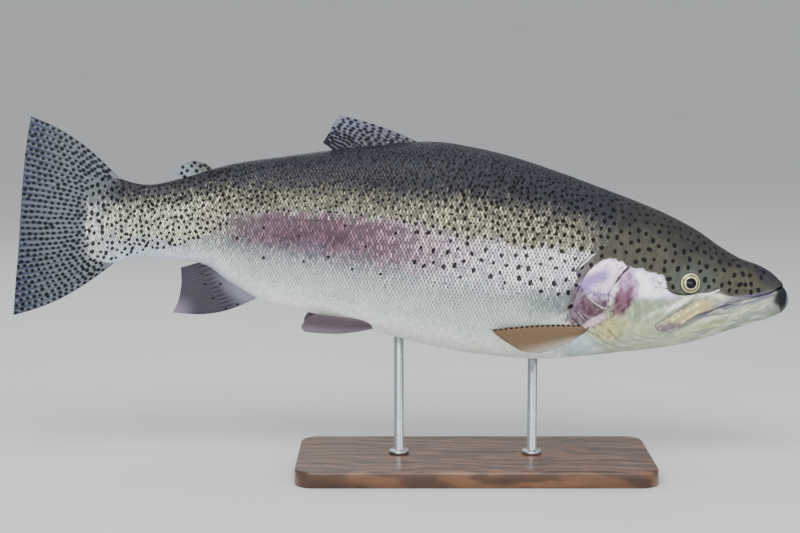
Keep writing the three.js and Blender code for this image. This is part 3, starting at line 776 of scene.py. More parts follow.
def spot_ink(points):
    """Signed distance into the nearest spot, in mm, positive inside it."""
    ink = np.full(len(points), -3.0)
    cell, beyond = 6.0, 4.0
    column = (points[:, 0] // cell).astype(int)
    for index in np.unique(column):
        low = index * cell
        near = (SPOTS[:, 0] > low - beyond) & (SPOTS[:, 0] < low + cell + beyond)
        if not near.any():
            continue
        rows = np.flatnonzero(column == index)
        for part in np.array_split(rows, max(1, len(rows) * near.sum() // 1_500_000)):
            offset = points[part, None] - SPOTS[None, near, :3]
            square = (offset ** 2).sum(-1)
            lean = (offset * SPOT_AXES[None, near]).sum(-1) ** 2 / np.maximum(square, 1e-6)
            ink[part] = (SPOTS[None, near, 3] * (0.84 + 0.36 * lean) - np.sqrt(square)).max(1)
    return np.maximum(ink, -3.0)


def painted_crease_shade(points):
    """Signed distance into the dark lines of the head, in mm, at points of the left side: painted shade along
    its creases, grooves and rims.
    """
    s, h = points[:, 0], points[:, 2]
    ink = np.full(len(points), -3.0)

    def draw(mark, places, widths, limit=None):
        gap, along = mark.measure(points)
        value = np.interp(along, places, widths) - gap
        np.maximum(ink, value if limit is None else np.where(limit, value, -3.0), out=ink)

    # Painted shade in the mouth's gap, under the eye fold, in the preopercle's groove and in the jaw crease.
    draw(MOUTH, [0, 0.05, 0.14, 0.3, 0.75, 0.9, 1], [1.1, 0.8, 0.3, 0.12, 0.14, 0.0, -0.4])
    draw(EYE_FOLD, [0, 0.1, 0.6, 0.9, 1], [0.2, 0.62, 0.6, 0.42, -0.2])
    draw(PREOPERCLE, [0, 0.05, 0.1, 0.17, 0.2, 0.27, 0.3, 0.5, 0.58, 0.8, 1],
         [0.9, 1.15, 0.9, 0.4, 0.75, 0.7, 0.42, 0.42, 0.3, 0.25, -0.3])
    draw(JAW_CREASE, [0, 0.1, 0.4, 0.7, 1], [-0.4, 0.02, 0.12, -0.1, -0.4])
    # Painted shade round the upper jaw's plate and in the slot behind the gill cover's edge.
    plate = MAXILLA.inside(points)
    ink = np.maximum(ink, np.where((s > 66), 0.27 - np.abs(plate + 0.35), -3.0))
    cover = COVER.inside(points)
    edge = 0.3 - np.abs(cover + 0.7)
    ink = np.maximum(ink, np.where((s > 160) & (h < 16), edge, -3.0))
    # Painted shade at the eye's rim and in the nostrils.
    eye = np.hypot(s - EYE_STATION, h - EYE_HEIGHT)
    ink = np.maximum(ink, 0.35 - np.abs(eye - EYE_OPENING + 0.1))
    for centre, size in NOSTRILS:
        ink = np.maximum(ink, size - np.hypot(s - centre[0], h - centre[1]))
    return ink


def line_gleam(points):
    """Signed distance into the painted highlights along the ridges of the head, in mm, at points of the left
    side.
    """
    gleam = np.full(len(points), -3.0)

    def draw(mark, places, widths, offset=0.0):
        gap, along = mark.measure(points)
        np.maximum(gleam, np.interp(along, places, widths) - np.abs(gap - offset), out=gleam)

    draw(CHEEK_GLINT, [0, 0.3, 0.7, 1], [0.2, 0.5, 0.75, 0.5])
    draw(SUBOPERCLE, [0, 0.3, 0.9, 1], [-0.4, 0.3, 0.38, -0.2], 0.2)
    draw(SHOULDER_GLINT, [0, 0.2, 0.8, 1], [0.1, 0.6, 0.55, 0.1])
    for ridge in GILL_RIDGES:
        draw(ridge, [0, 0.2, 0.8, 1], [-0.2, 0.34, 0.3, -0.3])
    gap, along = PREOPERCLE.measure(points)
    edge = np.interp(-points[:, 2], -PREOPERCLE.flat[:, 1], PREOPERCLE.flat[:, 0])
    rim = np.interp(along, [0, 0.12, 0.2, 0.5, 0.6, 1], [-1, -0.5, 0.12, 0.15, -0.5, -1]) - np.abs(gap - 0.85)
    return np.maximum(gleam, np.where(points[:, 0] < edge, rim, -3.0))


# ---- meshes --------------------------------------------------------------------------------

def signed_volume(points, faces):
    """Six times the volume inside faces, negative if they face inwards."""
    total = 0.0
    for block in faces:
        for k in range(1, block.shape[1] - 1):
            a, b, c = points[block[:, 0]], points[block[:, k]], points[block[:, k + 1]]
            total += np.einsum("ij,ij->", a, np.cross(b, c))
    return total


def make_mesh(name, points, faces, material, attributes=None, flat_faces=None, uv=None, closed=False):
    """A mesh object from shared-frame points. faces is a list of equal-width index arrays.

    A closed mesh is turned to face outwards."""
    if closed and signed_volume(points, faces) < 0:
        faces = [block[:, ::-1] for block in faces]
    mesh = bpy.data.meshes.new(name)
    mesh.vertices.add(len(points))
    mesh.vertices.foreach_set("co", np.ascontiguousarray(points, np.float32).ravel())
    corners = np.concatenate([np.asarray(block).ravel() for block in faces])
    sizes = np.concatenate([np.full(len(block), block.shape[1]) for block in faces])
    mesh.loops.add(len(corners))
    mesh.loops.foreach_set("vertex_index", corners.astype(np.int32))
    mesh.polygons.add(len(sizes))
    mesh.polygons.foreach_set("loop_start", np.concatenate([[0], np.cumsum(sizes)[:-1]]).astype(np.int32))
    mesh.polygons.foreach_set("loop_total", sizes.astype(np.int32))
    if flat_faces is not None:
        sharp = mesh.attributes.new("sharp_face", "BOOLEAN", "FACE")
        sharp.data.foreach_set("value", flat_faces.astype(bool))
    if uv is not None:
        layer = mesh.uv_layers.new(name="OFBake")
        layer.data.foreach_set("uv", uv[corners].astype(np.float32).ravel())
    for key, values in (attributes or {}).items():
        values = np.asarray(values, np.float32)
        if values.ndim == 1:
            mesh.attributes.new(key, "FLOAT", "POINT").data.foreach_set("value", values)
        elif key in ("pigment", "glint"):
            filled = np.concatenate([values, np.ones((len(values), 1), np.float32)], 1)
            mesh.attributes.new(key, "FLOAT_COLOR", "POINT").data.foreach_set("color", filled.ravel())
        else:
            mesh.attributes.new(key, "FLOAT_VECTOR", "POINT").data.foreach_set("vector", values.ravel())
    mesh.update(calc_edges=True)
    mesh.validate()
    mesh.materials.append(material)
    piece = bpy.data.objects.new(name, mesh)
    bpy.context.scene.collection.objects.link(piece)
    return piece


def finish_piece(piece, slot, *nodes):
    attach(piece, "root")
    if nodes:
        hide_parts(*nodes)
    return piece


def grid_faces(rows, columns, wrap):
    """Quads of a grid of points, row by row, closed round its columns if wrap."""
    i = np.arange(rows - 1)[:, None]
    j = np.arange(columns if wrap else columns - 1)[None]
    k = (j + 1) % columns
    quads = np.stack([i * columns + j, (i + 1) * columns + j, (i + 1) * columns + k, i * columns + k], -1)
    return quads.reshape(-1, 4)


# ---- materials -----------------------------------------------------------------------------

class Shader:
    """Short calls for building one node material."""

    def __init__(self, name):
        self.material = bpy.data.materials.new(name)
        self.material.use_nodes = True
        self.tree = self.material.node_tree
        self.tree.nodes.clear()
        self.surface = self.add("ShaderNodeBsdfPrincipled")
        out = self.add("ShaderNodeOutputMaterial")
        self.tree.links.new(self.surface.outputs[0], out.inputs["Surface"])

    def add(self, kind, **settings):
        node = self.tree.nodes.new(kind)
        for key, value in settings.items():
            setattr(node, key, value)
        return node

    def put(self, value, socket):
        if isinstance(value, bpy.types.NodeSocket):
            self.tree.links.new(value, socket)
        else:
            socket.default_value = value

    def set(self, **sockets):
        for key, value in sockets.items():
            self.put(value, self.surface.inputs[key.replace("_", " ")])

    def attribute(self, name, output="Fac"):
        return self.add("ShaderNodeAttribute", attribute_name=name).outputs[output]

    def math(self, operation, *values, clamp=False):
        node = self.add("ShaderNodeMath", operation=operation, use_clamp=clamp)
        for value, socket in zip(values, node.inputs):
            self.put(value, socket)
        return node.outputs[0]

    def vector(self, operation, a, b):
        node = self.add("ShaderNodeVectorMath", operation=operation)
        self.put(a, node.inputs[0])
        self.put(b, node.inputs[1])
        return node.outputs[0]

    def split(self, value):
        node = self.add("ShaderNodeSeparateXYZ")
        self.put(value, node.inputs[0])
        return node.outputs

    def range(self, value, low, high, to_low=0.0, to_high=1.0, smooth=True):
        node = self.add("ShaderNodeMapRange", interpolation_type="SMOOTHSTEP" if smooth else "LINEAR")
        for key, item in zip(("Value", "From Min", "From Max", "To Min", "To Max"),
                             (value, low, high, to_low, to_high)):
            self.put(item, node.inputs[key])
        return node.outputs["Result"]

    def mix(self, amount, a, b, blend="MIX"):
        node = self.add("ShaderNodeMix", data_type="RGBA", blend_type=blend)
        self.put(amount, node.inputs[0])
        for value, socket in ((a, node.inputs[6]), (b, node.inputs[7])):
            self.put((*colour(value), 1) if isinstance(value, str) else value, socket)
        return node.outputs[2]

    def grey(self, value):
        node = self.add("ShaderNodeCombineColor")
        for socket in node.inputs[:3]:
            self.put(value, socket)
        return node.outputs[0]

    def noise(self, vector, scale, detail=2.0, roughness=0.5):
        node = self.add("ShaderNodeTexNoise")
        self.put(vector, node.inputs["Vector"])
        for key, value in (("Scale", scale), ("Detail", detail), ("Roughness", roughness)):
            self.put(value, node.inputs[key])
        return node.outputs["Fac"]

    def ramp(self, value, *stops):
        node = self.add("ShaderNodeValToRGB")
        self.put(value, node.inputs[0])
        elements = node.color_ramp.elements
        while len(elements) < len(stops):
            elements.new(0.5)
        for element, (position, text) in zip(elements, stops):
            element.position = position
            element.color = (*colour(text), 1)
        return node.outputs["Color"]

    def bump(self, height, strength, distance):
        node = self.add("ShaderNodeBump")
        self.put(height, node.inputs["Height"])
        self.put(strength, node.inputs["Strength"])
        self.put(distance, node.inputs["Distance"])
        self.put(node.outputs[0], self.surface.inputs["Normal"])


# The dark of the spots, also laid as painted shade in the head's creases.
INK = "08090d"


def skin_material():
    shade = Shader("trout_skin")
    rest = shade.attribute("rest", "Vector")
    speckle = shade.noise(rest, 1.6, 3.0, 0.6)
    cloud = shade.noise(rest, 0.16, 3.0)
    base = shade.mix(1.0, shade.attribute("pigment", "Color"),
                     shade.grey(shade.range(speckle, 0.25, 0.75, 0.7, 1.28)), "MULTIPLY")
    base = shade.mix(1.0, base, shade.grey(shade.range(cloud, 0.3, 0.7, 0.88, 1.1)), "MULTIPLY")
    edge = shade.math("MULTIPLY", shade.math("SUBTRACT", speckle, 0.5), 0.7)
    # The dark spots, and the painted shade in the head's creases.
    ink = shade.range(shade.math("ADD", shade.attribute("ink"), edge), -0.28, 0.28)
    base = shade.mix(shade.math("MULTIPLY", ink, 0.95), base, INK)
    # A painted highlight along the head's ridges.
    gleam = shade.range(shade.math("ADD", shade.attribute("gleam"), edge), -0.25, 0.25)
    base = shade.mix(shade.math("MULTIPLY", gleam, 0.85), base, "f3f1ee")
    silver = shade.attribute("sheen")
    shade.set(Base_Color=base,
              Roughness=shade.range(speckle, 0.2, 0.8, 0.55, 0.4),
              Metallic=shade.math("MULTIPLY", silver, 0.2),
              Specular_IOR_Level=0.12, Coat_Weight=0.03, Coat_Roughness=0.12)
    pores = shade.math("ADD", shade.math("MULTIPLY", shade.noise(rest, 2.6, 2.0), 0.6),
                       shade.math("MULTIPLY", shade.noise(rest, 0.7, 2.0), 0.8))
    shade.bump(pores, 0.35, 0.0003)
    return shade.material


def scale_material():
    """Each scale carries its own lobe coordinates: across -1 to 1, along 0 to 1, and a chance value."""
    shade = Shader("trout_scales")
    rest = shade.attribute("rest", "Vector")
    across, along, chance = shade.split(shade.attribute("lobe", "Vector"))
    speckle = shade.noise(rest, 1.8, 2.0, 0.6)
    # Light gathers in a dash across the middle of what shows of a scale; the rest stays dull.
    centre = shade.range(shade.math("MULTIPLY", across, across), 0.95, 0.2)
    middle = shade.math("MULTIPLY", shade.range(along, 0.52, 0.65), shade.range(along, 0.96, 0.83))
    dash = shade.math("MULTIPLY", centre, middle)
    strength = shade.attribute("spark")
    dull = shade.math("MULTIPLY", shade.math("SUBTRACT", 1.0, dash),
                      shade.range(strength, 0.0, 1.2, 0.1, 0.75))
    dull = shade.math("SUBTRACT", 1.06, dull)
    dull = shade.math("MULTIPLY", dull, shade.range(speckle, 0.2, 0.8, 0.88, 1.12))
    dull = shade.math("MULTIPLY", dull, shade.range(chance, 0.0, 1.0, 0.9, 1.1))
    base = shade.mix(1.0, shade.attribute("pigment", "Color"), shade.grey(dull), "MULTIPLY")
    base = shade.mix(shade.math("MULTIPLY", dash, strength, clamp=True), base,
                     shade.attribute("glint", "Color"))
    edge = shade.math("MULTIPLY", shade.math("SUBTRACT", speckle, 0.5), 0.7)
    ink = shade.range(shade.math("ADD", shade.attribute("ink"), edge), -0.25, 0.3)
    base = shade.mix(shade.math("MULTIPLY", ink, 0.95), base, INK)
    silver = shade.attribute("sheen")
    shade.set(Base_Color=base,
              Roughness=shade.range(speckle, 0.2, 0.8, 0.42, 0.3),
              Metallic=shade.math("MULTIPLY", silver, 0.22),
              Specular_IOR_Level=0.1, Coat_Weight=0.02, Coat_Roughness=0.15)
    rings = shade.math("SINE", shade.math("MULTIPLY", along, 70.0))
    shade.bump(shade.math("ADD", shade.math("MULTIPLY", rings, 0.25), speckle), 0.2, 0.0001)
    return shade.material


def fin_material(name, ray_tint):
    """Fins carry rib, from 0 on the membrane to 1 on a ray, besides their pigment and spots."""
    shade = Shader(name)
    rest = shade.attribute("rest", "Vector")
    speckle = shade.noise(rest, 1.4, 3.0, 0.6)
    rib = shade.attribute("rib")
    base = shade.mix(1.0, shade.attribute("pigment", "Color"),
                     shade.grey(shade.range(speckle, 0.25, 0.75, 0.82, 1.18)), "MULTIPLY")
    base = shade.mix(shade.math("MULTIPLY", rib, 0.3), base, ray_tint)
    edge = shade.math("MULTIPLY", shade.math("SUBTRACT", speckle, 0.5), 0.8)
    ink = shade.range(shade.math("ADD", shade.attribute("ink"), edge), -0.35, 0.35)
    base = shade.mix(shade.math("MULTIPLY", ink, 0.97), base, "0a0b0e")
    shade.set(Base_Color=base, Roughness=shade.range(speckle, 0.2, 0.8, 0.46, 0.3),
              Specular_IOR_Level=0.1, Coat_Weight=0.02, Coat_Roughness=0.15)
    joints = shade.math("SINE", shade.math("MULTIPLY", shade.attribute("segment"), 2 * math.pi))
    joints = shade.math("MULTIPLY", shade.range(joints, 0.6, 1.0), rib)
    shade.bump(shade.math("SUBTRACT", speckle, joints), 0.3, 0.00025)
    return shade.material


def eye_material():
    """The eye carries ring: distance from its axis in mm."""
    shade = Shader("trout_eye")
    rest = shade.attribute("rest", "Vector")
    ring = shade.attribute("ring")
    fibre = shade.noise(rest, 1.3, 3.0, 0.6)
    ragged = shade.math("ADD", ring, shade.math("MULTIPLY", shade.math("SUBTRACT", fibre, 0.5), 0.55))
    share = shade.math("DIVIDE", ragged, 10.0)
    base = shade.ramp(share, (0.0, "10101c"), (0.30, "0c0c14"), (0.44, "050507"), (0.455, "c9c5a0"),
                      (0.495, "e2dec0"), (0.555, "84825c"), (0.60, "5f5d40"), (0.69, "7a774e"),
                      (0.73, "cfcb9a"), (0.775, "e9e6bc"), (0.815, "4a4834"), (0.86, "0c0c0e"))
    gold = shade.math("MULTIPLY", shade.range(ring, 4.3, 4.9), shade.range(ring, 8.2, 7.6))
    shade.set(Base_Color=base, Roughness=0.28, Metallic=shade.math("MULTIPLY", gold, 0.35),
              Specular_IOR_Level=0.1, Coat_Weight=0.25, Coat_Roughness=0.03)
    shade.bump(shade.math("MULTIPLY", fibre, gold), 0.25, 0.0002)
    return shade.material


def wood_material():
    shade = Shader("stand_walnut")
    place_in = shade.add("ShaderNodeTexCoord").outputs["Object"]
    stretched = shade.vector("MULTIPLY", place_in, (6.0, 46.0, 46.0))
    warp = shade.noise(shade.vector("MULTIPLY", place_in, (9.0, 24.0, 24.0)), 1.0, 3.0)
    grain = shade.noise(stretched, 2.4, 6.0, 0.65)
    bands = shade.math("SINE", shade.math("ADD", shade.math("MULTIPLY", shade.split(place_in)[1], 420.0),
                                          shade.math("MULTIPLY", warp, 34.0)))
    tone = shade.math("ADD", shade.math("MULTIPLY", grain, 0.7),
                      shade.math("MULTIPLY", shade.range(bands, -1.0, 1.0), 0.3))
    base = shade.ramp(tone, (0.2, "2a1a10"), (0.45, "4a2f1d"), (0.62, "61402a"), (0.85, "7a5538"))
    shade.set(Base_Color=base, Roughness=shade.range(grain, 0.3, 0.7, 0.5, 0.33),
              Coat_Weight=0.25, Coat_Roughness=0.2)
    shade.bump(grain, 0.25, 0.0004)
    return shade.material


def steel_material():
    shade = Shader("stand_brushed_steel")
    place_in = shade.add("ShaderNodeTexCoord").outputs["Object"]
    brushed = shade.noise(shade.vector("MULTIPLY", place_in, (90.0, 90.0, 4200.0)), 1.0, 3.0)
    smudge = shade.noise(shade.vector("MULTIPLY", place_in, (60.0, 60.0, 60.0)), 1.0, 2.0)
    base = shade.mix(smudge, "a9acb0", "c6c9cc")
    shade.set(Base_Color=base, Metallic=1.0, Roughness=shade.range(brushed, 0.3, 0.7, 0.24, 0.42))
    shade.bump(brushed, 0.12, 0.0001)
    return shade.material


# ---- the skin ------------------------------------------------------------------------------

HALF_COLUMNS = 160                 # from the back's midline to the belly's
FINE_ROW, COARSE_ROW = 0.65, 3.0   # row spacing on the head and on the scaled body
HEAD_END = 192.0


def skin_stations():
    chin = CHIN + np.linspace(0.16, float(reach(22.0)), 62) ** 2
    head = np.arange(22.0 + FINE_ROW, HEAD_END, FINE_ROW)
    body = np.arange(head[-1] + COARSE_ROW, SKIN_END - 0.6, COARSE_ROW)
    return np.concatenate([chin, head, body])


def gather_round_eye(points):
    """Slides points near the eye's rim towards it, so that the rim is crisp."""
    s, h = points[:, 0], points[:, 2]
    x, y = s - EYE_STATION, h - EYE_HEIGHT
    radius = np.maximum(np.hypot(x, y), 1e-6)
    away = radius - EYE_OPENING
    band = 3.2
    near = (np.abs(away) < band) & (radius > 1)
    pulled = EYE_OPENING + np.sign(away) * np.abs(away) ** 1.5 / band ** 0.5
    ratio = np.where(near, pulled / radius, 1.0)
    new_s, new_h = EYE_STATION + x * ratio, EYE_HEIGHT + y * ratio
    moved = flank(new_s[near], share_at(new_s[near], new_h[near]))
    points = points.copy()
    points[near] = moved
    return points


def flank_normal(station, share):
    normal = look_up(NORMAL, station, share)
    return normal / np.linalg.norm(normal, axis=-1, keepdims=True)


def make_skin(material):
    station = skin_stations()
    share = np.linspace(0, 1, HALF_COLUMNS + 1)
    s, f = np.meshgrid(station, share, indexing="ij")
    base = gather_round_eye(flank(s.ravel(), f.ravel()))
    real_share = share_at(base[:, 0], base[:, 2])
    real_share = np.where(np.abs(f.ravel() - real_share) < 0.02, f.ravel(), real_share)
    head = base[:, 0] < 200
    lift = np.zeros(len(base))
    lift[head] = relief(base[head])
    lift -= COAT_DEPTH * scaled(base[:, 0], base[:, 2])
    normal = flank_normal(base[:, 0], real_share)
    midline = (f.ravel() == 0) | (f.ravel() == 1)
    normal[midline, 1] = 0
    skin = base + normal * lift[:, None]
    skin[midline, 1] = 0
    ink, gleam = np.full(len(base), -3.0), np.full(len(base), -3.0)
    # Painted shade along the head's creases and grooves.
    ink[head] = painted_crease_shade(base[head])
    gleam[head] = line_gleam(base[head])
    rows, half = len(station), HALF_COLUMNS + 1
    fields = {"pigment": pigment(base), "sheen": sheen(base), "gleam": gleam}

    def ring(values, mirror=None):
        """Left-side values carried round the whole section."""
        left = values.reshape(rows, half, -1)
        right = (left if mirror is None else mirror.reshape(rows, half, -1))[:, -2:0:-1]
        return np.concatenate([left, right], 1).reshape(rows * (2 * half - 2), -1)

    flip = np.array([1, -1, 1])
    points, rest = ring(skin, skin * flip), ring(base, base * flip)
    # The skin's ink: the dark spots, and the painted crease shade of the head.
    left_spots_and_shade = np.maximum(ink, spot_ink(base))
    right_spots_and_shade = np.maximum(ink, spot_ink(base * flip))
    both = {key: ring(value) for key, value in fields.items()}
    both["ink"] = ring(left_spots_and_shade, right_spots_and_shade)
    columns = 2 * half - 2
    faces = grid_faces(rows, columns, wrap=True)
    chin_pole, tail_pole = len(points), len(points) + 1
    end = points[-columns:].mean(0)
    poles = np.array([[CHIN, 0, -7.0], end])
    points, rest = np.vstack([points, poles]), np.vstack([rest, poles])
    for key, value in both.items():
        both[key] = np.vstack([value, value[:1], value[-1:]]).squeeze()
    around = np.arange(columns)
    after = (around + 1) % columns
    last = (rows - 1) * columns
    caps = [np.stack([np.full(columns, chin_pole), around, after], 1),
            np.stack([np.full(columns, tail_pole), last + after, last + around], 1)]
    piece = make_mesh("skin", place(points), [faces, *caps], material, {**both, "rest": rest}, closed=True)
    return finish_piece(piece, "skin_body", "head", "lower_jaw", "trunk_front", "trunk_rear", "tail_stalk",
                        "gill_cover_left", "gill_cover_right", "maxilla_left", "maxilla_right")


# ---- the scales ----------------------------------------------------------------------------

SCALE_PITCH = 2.95                 # along the body at its deepest, in mm
SCALE_ROW = 2.85                   # between rows there
LATERAL_LINE = [[150, 20], [200, 21], [300, 21], [400, 17], [470, 11], [540, 9], [597, 9]]
SCALE_ACROSS = 5                   # points across each scale
SCALE_STEPS = np.array([0.0, 0.4, 0.6, 0.8, 1.0])
SCALE_THICKNESS = 0.1
SCALE_LENGTHS = 8                  # the coat is divided into this many lengths
PATCH = 0.003                      # size of each scale on the baking map
ROD_STATIONS = (206.0, 320.0)


def scale_size(station):
    """Scales shrink slowly towards the tail, as a share of their size at the deepest place."""
    return (girth_at(station) / GIRTH.max()) ** 0.33


def scale_roots(side):
    """Where each scale of one side is rooted: station, girth distance from the back, size."""
    fine = np.linspace(140, SKIN_END - 3, 1500)
    count = np.concatenate([[0], np.cumsum(np.diff(fine) / (SCALE_PITCH * scale_size(fine[:-1])))])
    line_height = steps(fine, LATERAL_LINE)
    line_down = share_at(fine, line_height) * girth_at(fine)
    roots = []
    for row in range(-42, 75):
        tick = np.arange(0, int(count[-1])) + (0.5 if row % 2 else 0.0)
        station = np.interp(tick, count, fine)
        down = np.interp(station, fine, line_down) + row * SCALE_ROW * scale_size(station)
        roots.append(np.stack([station, down], 1))
    roots = np.vstack(roots)
    station, down = roots.T
    share = down / girth_at(station)
    kept = (share > 0.0) & (share < 1.0) & (station < SKIN_END - 9)
    station, share = station[kept], share[kept]
    height = look_up(HEIGHT, station, share)
    size = scale_size(station)
    front = steps(height, SCALE_FRONT)
    kept = station > front - 3.5
    fade = smoothstep(front - 3.5, front + 12, station)
    for rod in ROD_STATIONS:
        kept &= ~((np.abs(station + 2 - rod) < 5.0) & (share > 0.97))
    thin = half_width(station) * np.sqrt(np.maximum(0, 1 - (np.abs(height - 8) / 40) ** 2))
    kept &= (station < TAIL_FIN_ROOT + 4) | (thin > 1.0)
    random = np.random.default_rng(21)
    kept &= random.uniform(0, 1, len(station)) < smoothstep(SKIN_END - 1, SKIN_END - 22, station) + 0.12
    size = size * (0.86 + 0.14 * fade)
    return station[kept], share[kept], size[kept], side


def glint_colour(s, h):
    """The colour of the light caught by a scale."""
    paint = Paint(np.tile(tint("d3ddd8"), (len(s), 1)))
    olive, dark = steps(s, OLIVE_LOW), steps(s, DARK_EDGE)
    paint.lay("d8d4be", smoothstep(olive - 4, olive + 5, h))
    paint.lay("fff6ff", 1.2 * pearl_amount(s, h))
    paint.lay("cdabb8", rose_amount(s, h))
    paint.lay("fffbe0", smoothstep(440, 500, s) * smoothstep(-6, 4, h))
    paint.lay("f0f6fa", smoothstep(440, 500, s) * smoothstep(2, -10, h))
    paint.lay("f6f6f4", smoothstep(558, 580, s))
    paint.lay("7a7b7c", smoothstep(dark - 16, dark + 8, h))
    return paint.colour


def glint_strength(s, h):
    """How brightly scales catch the light, 0 to 1, and how evenly from scale to scale."""
    olive, dark = steps(s, OLIVE_LOW), steps(s, DARK_EDGE)
    on_olive = smoothstep(olive - 4, olive + 5, h)
    strength = 0.8 + (0.35 * smoothstep(400, 250, s) - 0.4) * on_olive
    even = 0.6 - 0.4 * on_olive
    stalk = smoothstep(430, 500, s)
    strength += (0.85 - strength) * stalk
    pearl, rose = pearl_amount(s, h), rose_amount(s, h)
    strength += (1.35 - strength) * pearl
    even += (0.42 - even) * pearl
    strength += (0.14 + 0.42 * smoothstep(360, 280, s) - strength) * rose * (1 - 0.5 * pearl)
    even += (0.1 - even) * rose
    strength += (0.12 - strength) * smoothstep(dark - 26, dark + 8, h)
    belly = smoothstep(steps(s, BELLY_EDGE) + 18, steps(s, BELLY_EDGE), h)
    strength *= 1 - 0.8 * belly
    strength *= 1 - 0.5 * behind_cover(s, h)
    strength *= 1 - 0.5 * smoothstep(556, 576, s) * smoothstep(14, 28, h)
    behind_head = s - steps(h, SCALE_FRONT)
    strength *= 1 - smoothstep(18, 30, h) * smoothstep(26, 0, behind_head)
    strength *= 1 - smoothstep(2, -14, h) * smoothstep(26, 0, behind_head)
    return np.clip(strength, 0.03, 1.3), np.clip(even, 0, 1)


def scale_fields(station, share, base, rest, chance, random, per):
    """What each point of the scales carries for the shader. A scale's colours are drawn a little
    off its own place, so that the bands of colour end raggedly."""
    count = len(station)
    off = np.stack([random.normal(0, 2.2, count), np.zeros(count), random.normal(0, 2.0, count)], 1)
    root = flank(station, share) + off
    strength, even = glint_strength(root[:, 0], root[:, 2])
    spark = strength * (even + (1 - even) * 1.9 * chance ** 2)
    return {
        "pigment": pigment(base + np.repeat(off, per, 0)),
        "glint": np.repeat(glint_colour(root[:, 0], root[:, 2]), per, 0),
        "spark": np.repeat(spark, per), "sheen": sheen(base), "ink": spot_ink(rest), "rest": rest,
    }


def make_scales(material):
    parts = [scale_roots(side) for side in (1, -1)]
    station, share, size = (np.concatenate([part[k] for part in parts]) for k in range(3))
    side = np.concatenate([np.full(len(part[0]), part[3]) for part in parts])
    random = np.random.default_rng(3)
    count = len(station)
    chance, lean, tilt = random.uniform(0, 1, count), random.normal(0, 1, count), random.normal(0, 1, count)
    station = station + random.normal(0, 0.12, count)
    size = size * random.uniform(0.95, 1.05, count)

    grid_b, grid_a = np.meshgrid(SCALE_STEPS, np.linspace(-1, 1, SCALE_ACROSS), indexing="ij")
    grid_a, grid_b = grid_a.ravel(), grid_b.ravel()
    per = len(grid_a)
    local_along = grid_b * (1 - 0.40 * np.abs(grid_a) ** 2.2) * SCALE_PITCH * 1.85
    local_across = grid_a * SCALE_ROW * 1.06 * (0.80 + 0.2 * np.sin(math.pi * np.minimum(grid_b, 0.5)))
    s = station[:, None] + local_along[None] * size[:, None]
    down = share[:, None] * girth_at(s) + local_across[None] * size[:, None]
    f = down / girth_at(s)
    over = np.where((f < 0) | (f > 1), -1, 1)           # a scale may lap over a midline
    f = np.where(f < 0, -f, np.where(f > 1, 2 - f, f))
    base = flank(s.ravel(), f.ravel())
    normal = flank_normal(s.ravel(), f.ravel())
    rise = COAT_DEPTH * (0.12 + 0.88 * grid_b[None]) - 0.16 * grid_a[None] ** 2
    rise = rise + 0.06 * grid_a[None] * lean[:, None] + 0.045 * grid_b[None] * tilt[:, None]
    rise = np.minimum(rise, COAT_DEPTH + 0.02) * np.minimum(size[:, None] * 1.1, 1)
    turn = (side[:, None] * over).ravel()[:, None] * np.array([0, 1, 0]) + np.array([1, 0, 1])
    top = (base + normal * (rise.ravel()[:, None] - COAT_DEPTH)) * turn
    bottom = top - normal * turn * SCALE_THICKNESS
    rest = base * turn
    fields = scale_fields(station, share, base, rest, chance, random, per)
    fields["lobe"] = np.stack([np.tile(grid_a, count), np.tile(grid_b, count), np.repeat(chance, per)], -1)

    rows, columns = len(SCALE_STEPS), SCALE_ACROSS
    border = np.concatenate([np.arange(columns), columns * np.arange(1, rows) + columns - 1,
                             (rows - 1) * columns + np.arange(columns - 2, -1, -1),
                             columns * np.arange(rows - 2, 0, -1)])
    edge = len(border)
    around = np.arange(edge)
    after = (around + 1) % edge
    lid = grid_faces(rows, columns, wrap=False)
    rim = np.stack([border, border[after], per + after, per + around], -1)
    under = (per + around[::-1])[None]
    order = np.sort(station)
    cuts = order[(np.arange(1, SCALE_LENGTHS) * count) // SCALE_LENGTHS]
    bins = np.searchsorted(cuts, station)
    root_uv = np.stack([(station - 140) / (SKIN_END - 140), 0.5 + 0.49 * side * share], -1)
    patch_uv = np.stack([grid_b - 0.5, grid_a * 0.5], -1) * PATCH
    uv = (root_uv[:, None] * 0.98 + 0.01 + patch_uv[None]).reshape(-1, 2)
    for part in range(SCALE_LENGTHS):
        chosen = np.flatnonzero(bins == part)
        number = len(chosen)

        def pack(values, below=None):
            """Values of this length's scales: the top of each, then its border again."""
            values = values.reshape(count, per, -1)[chosen]
            low = values if below is None else below.reshape(count, per, -1)[chosen]
            return np.concatenate([values, low[:, border]], 1).reshape(number * (per + edge), -1)

        start = (np.arange(number) * (per + edge))[:, None, None]
        flip = (side[chosen] > 0)[:, None, None]
        blocks = [(np.where(flip, block[None, :, ::-1], block[None]) + start).reshape(-1, block.shape[1])
                  for block in (lid, rim, under)]
        flat = np.concatenate([np.zeros(number * len(lid)), np.ones(number * (len(rim) + 1))]).astype(bool)
        attributes = {key: pack(value).squeeze() for key, value in fields.items()}
        piece = make_mesh(f"scales_{part + 1}", place(pack(top, bottom)), blocks, material, attributes,
                          flat_faces=flat, uv=pack(uv))
        finish_piece(piece, "skin_body")


# ---- the fins ------------------------------------------------------------------------------

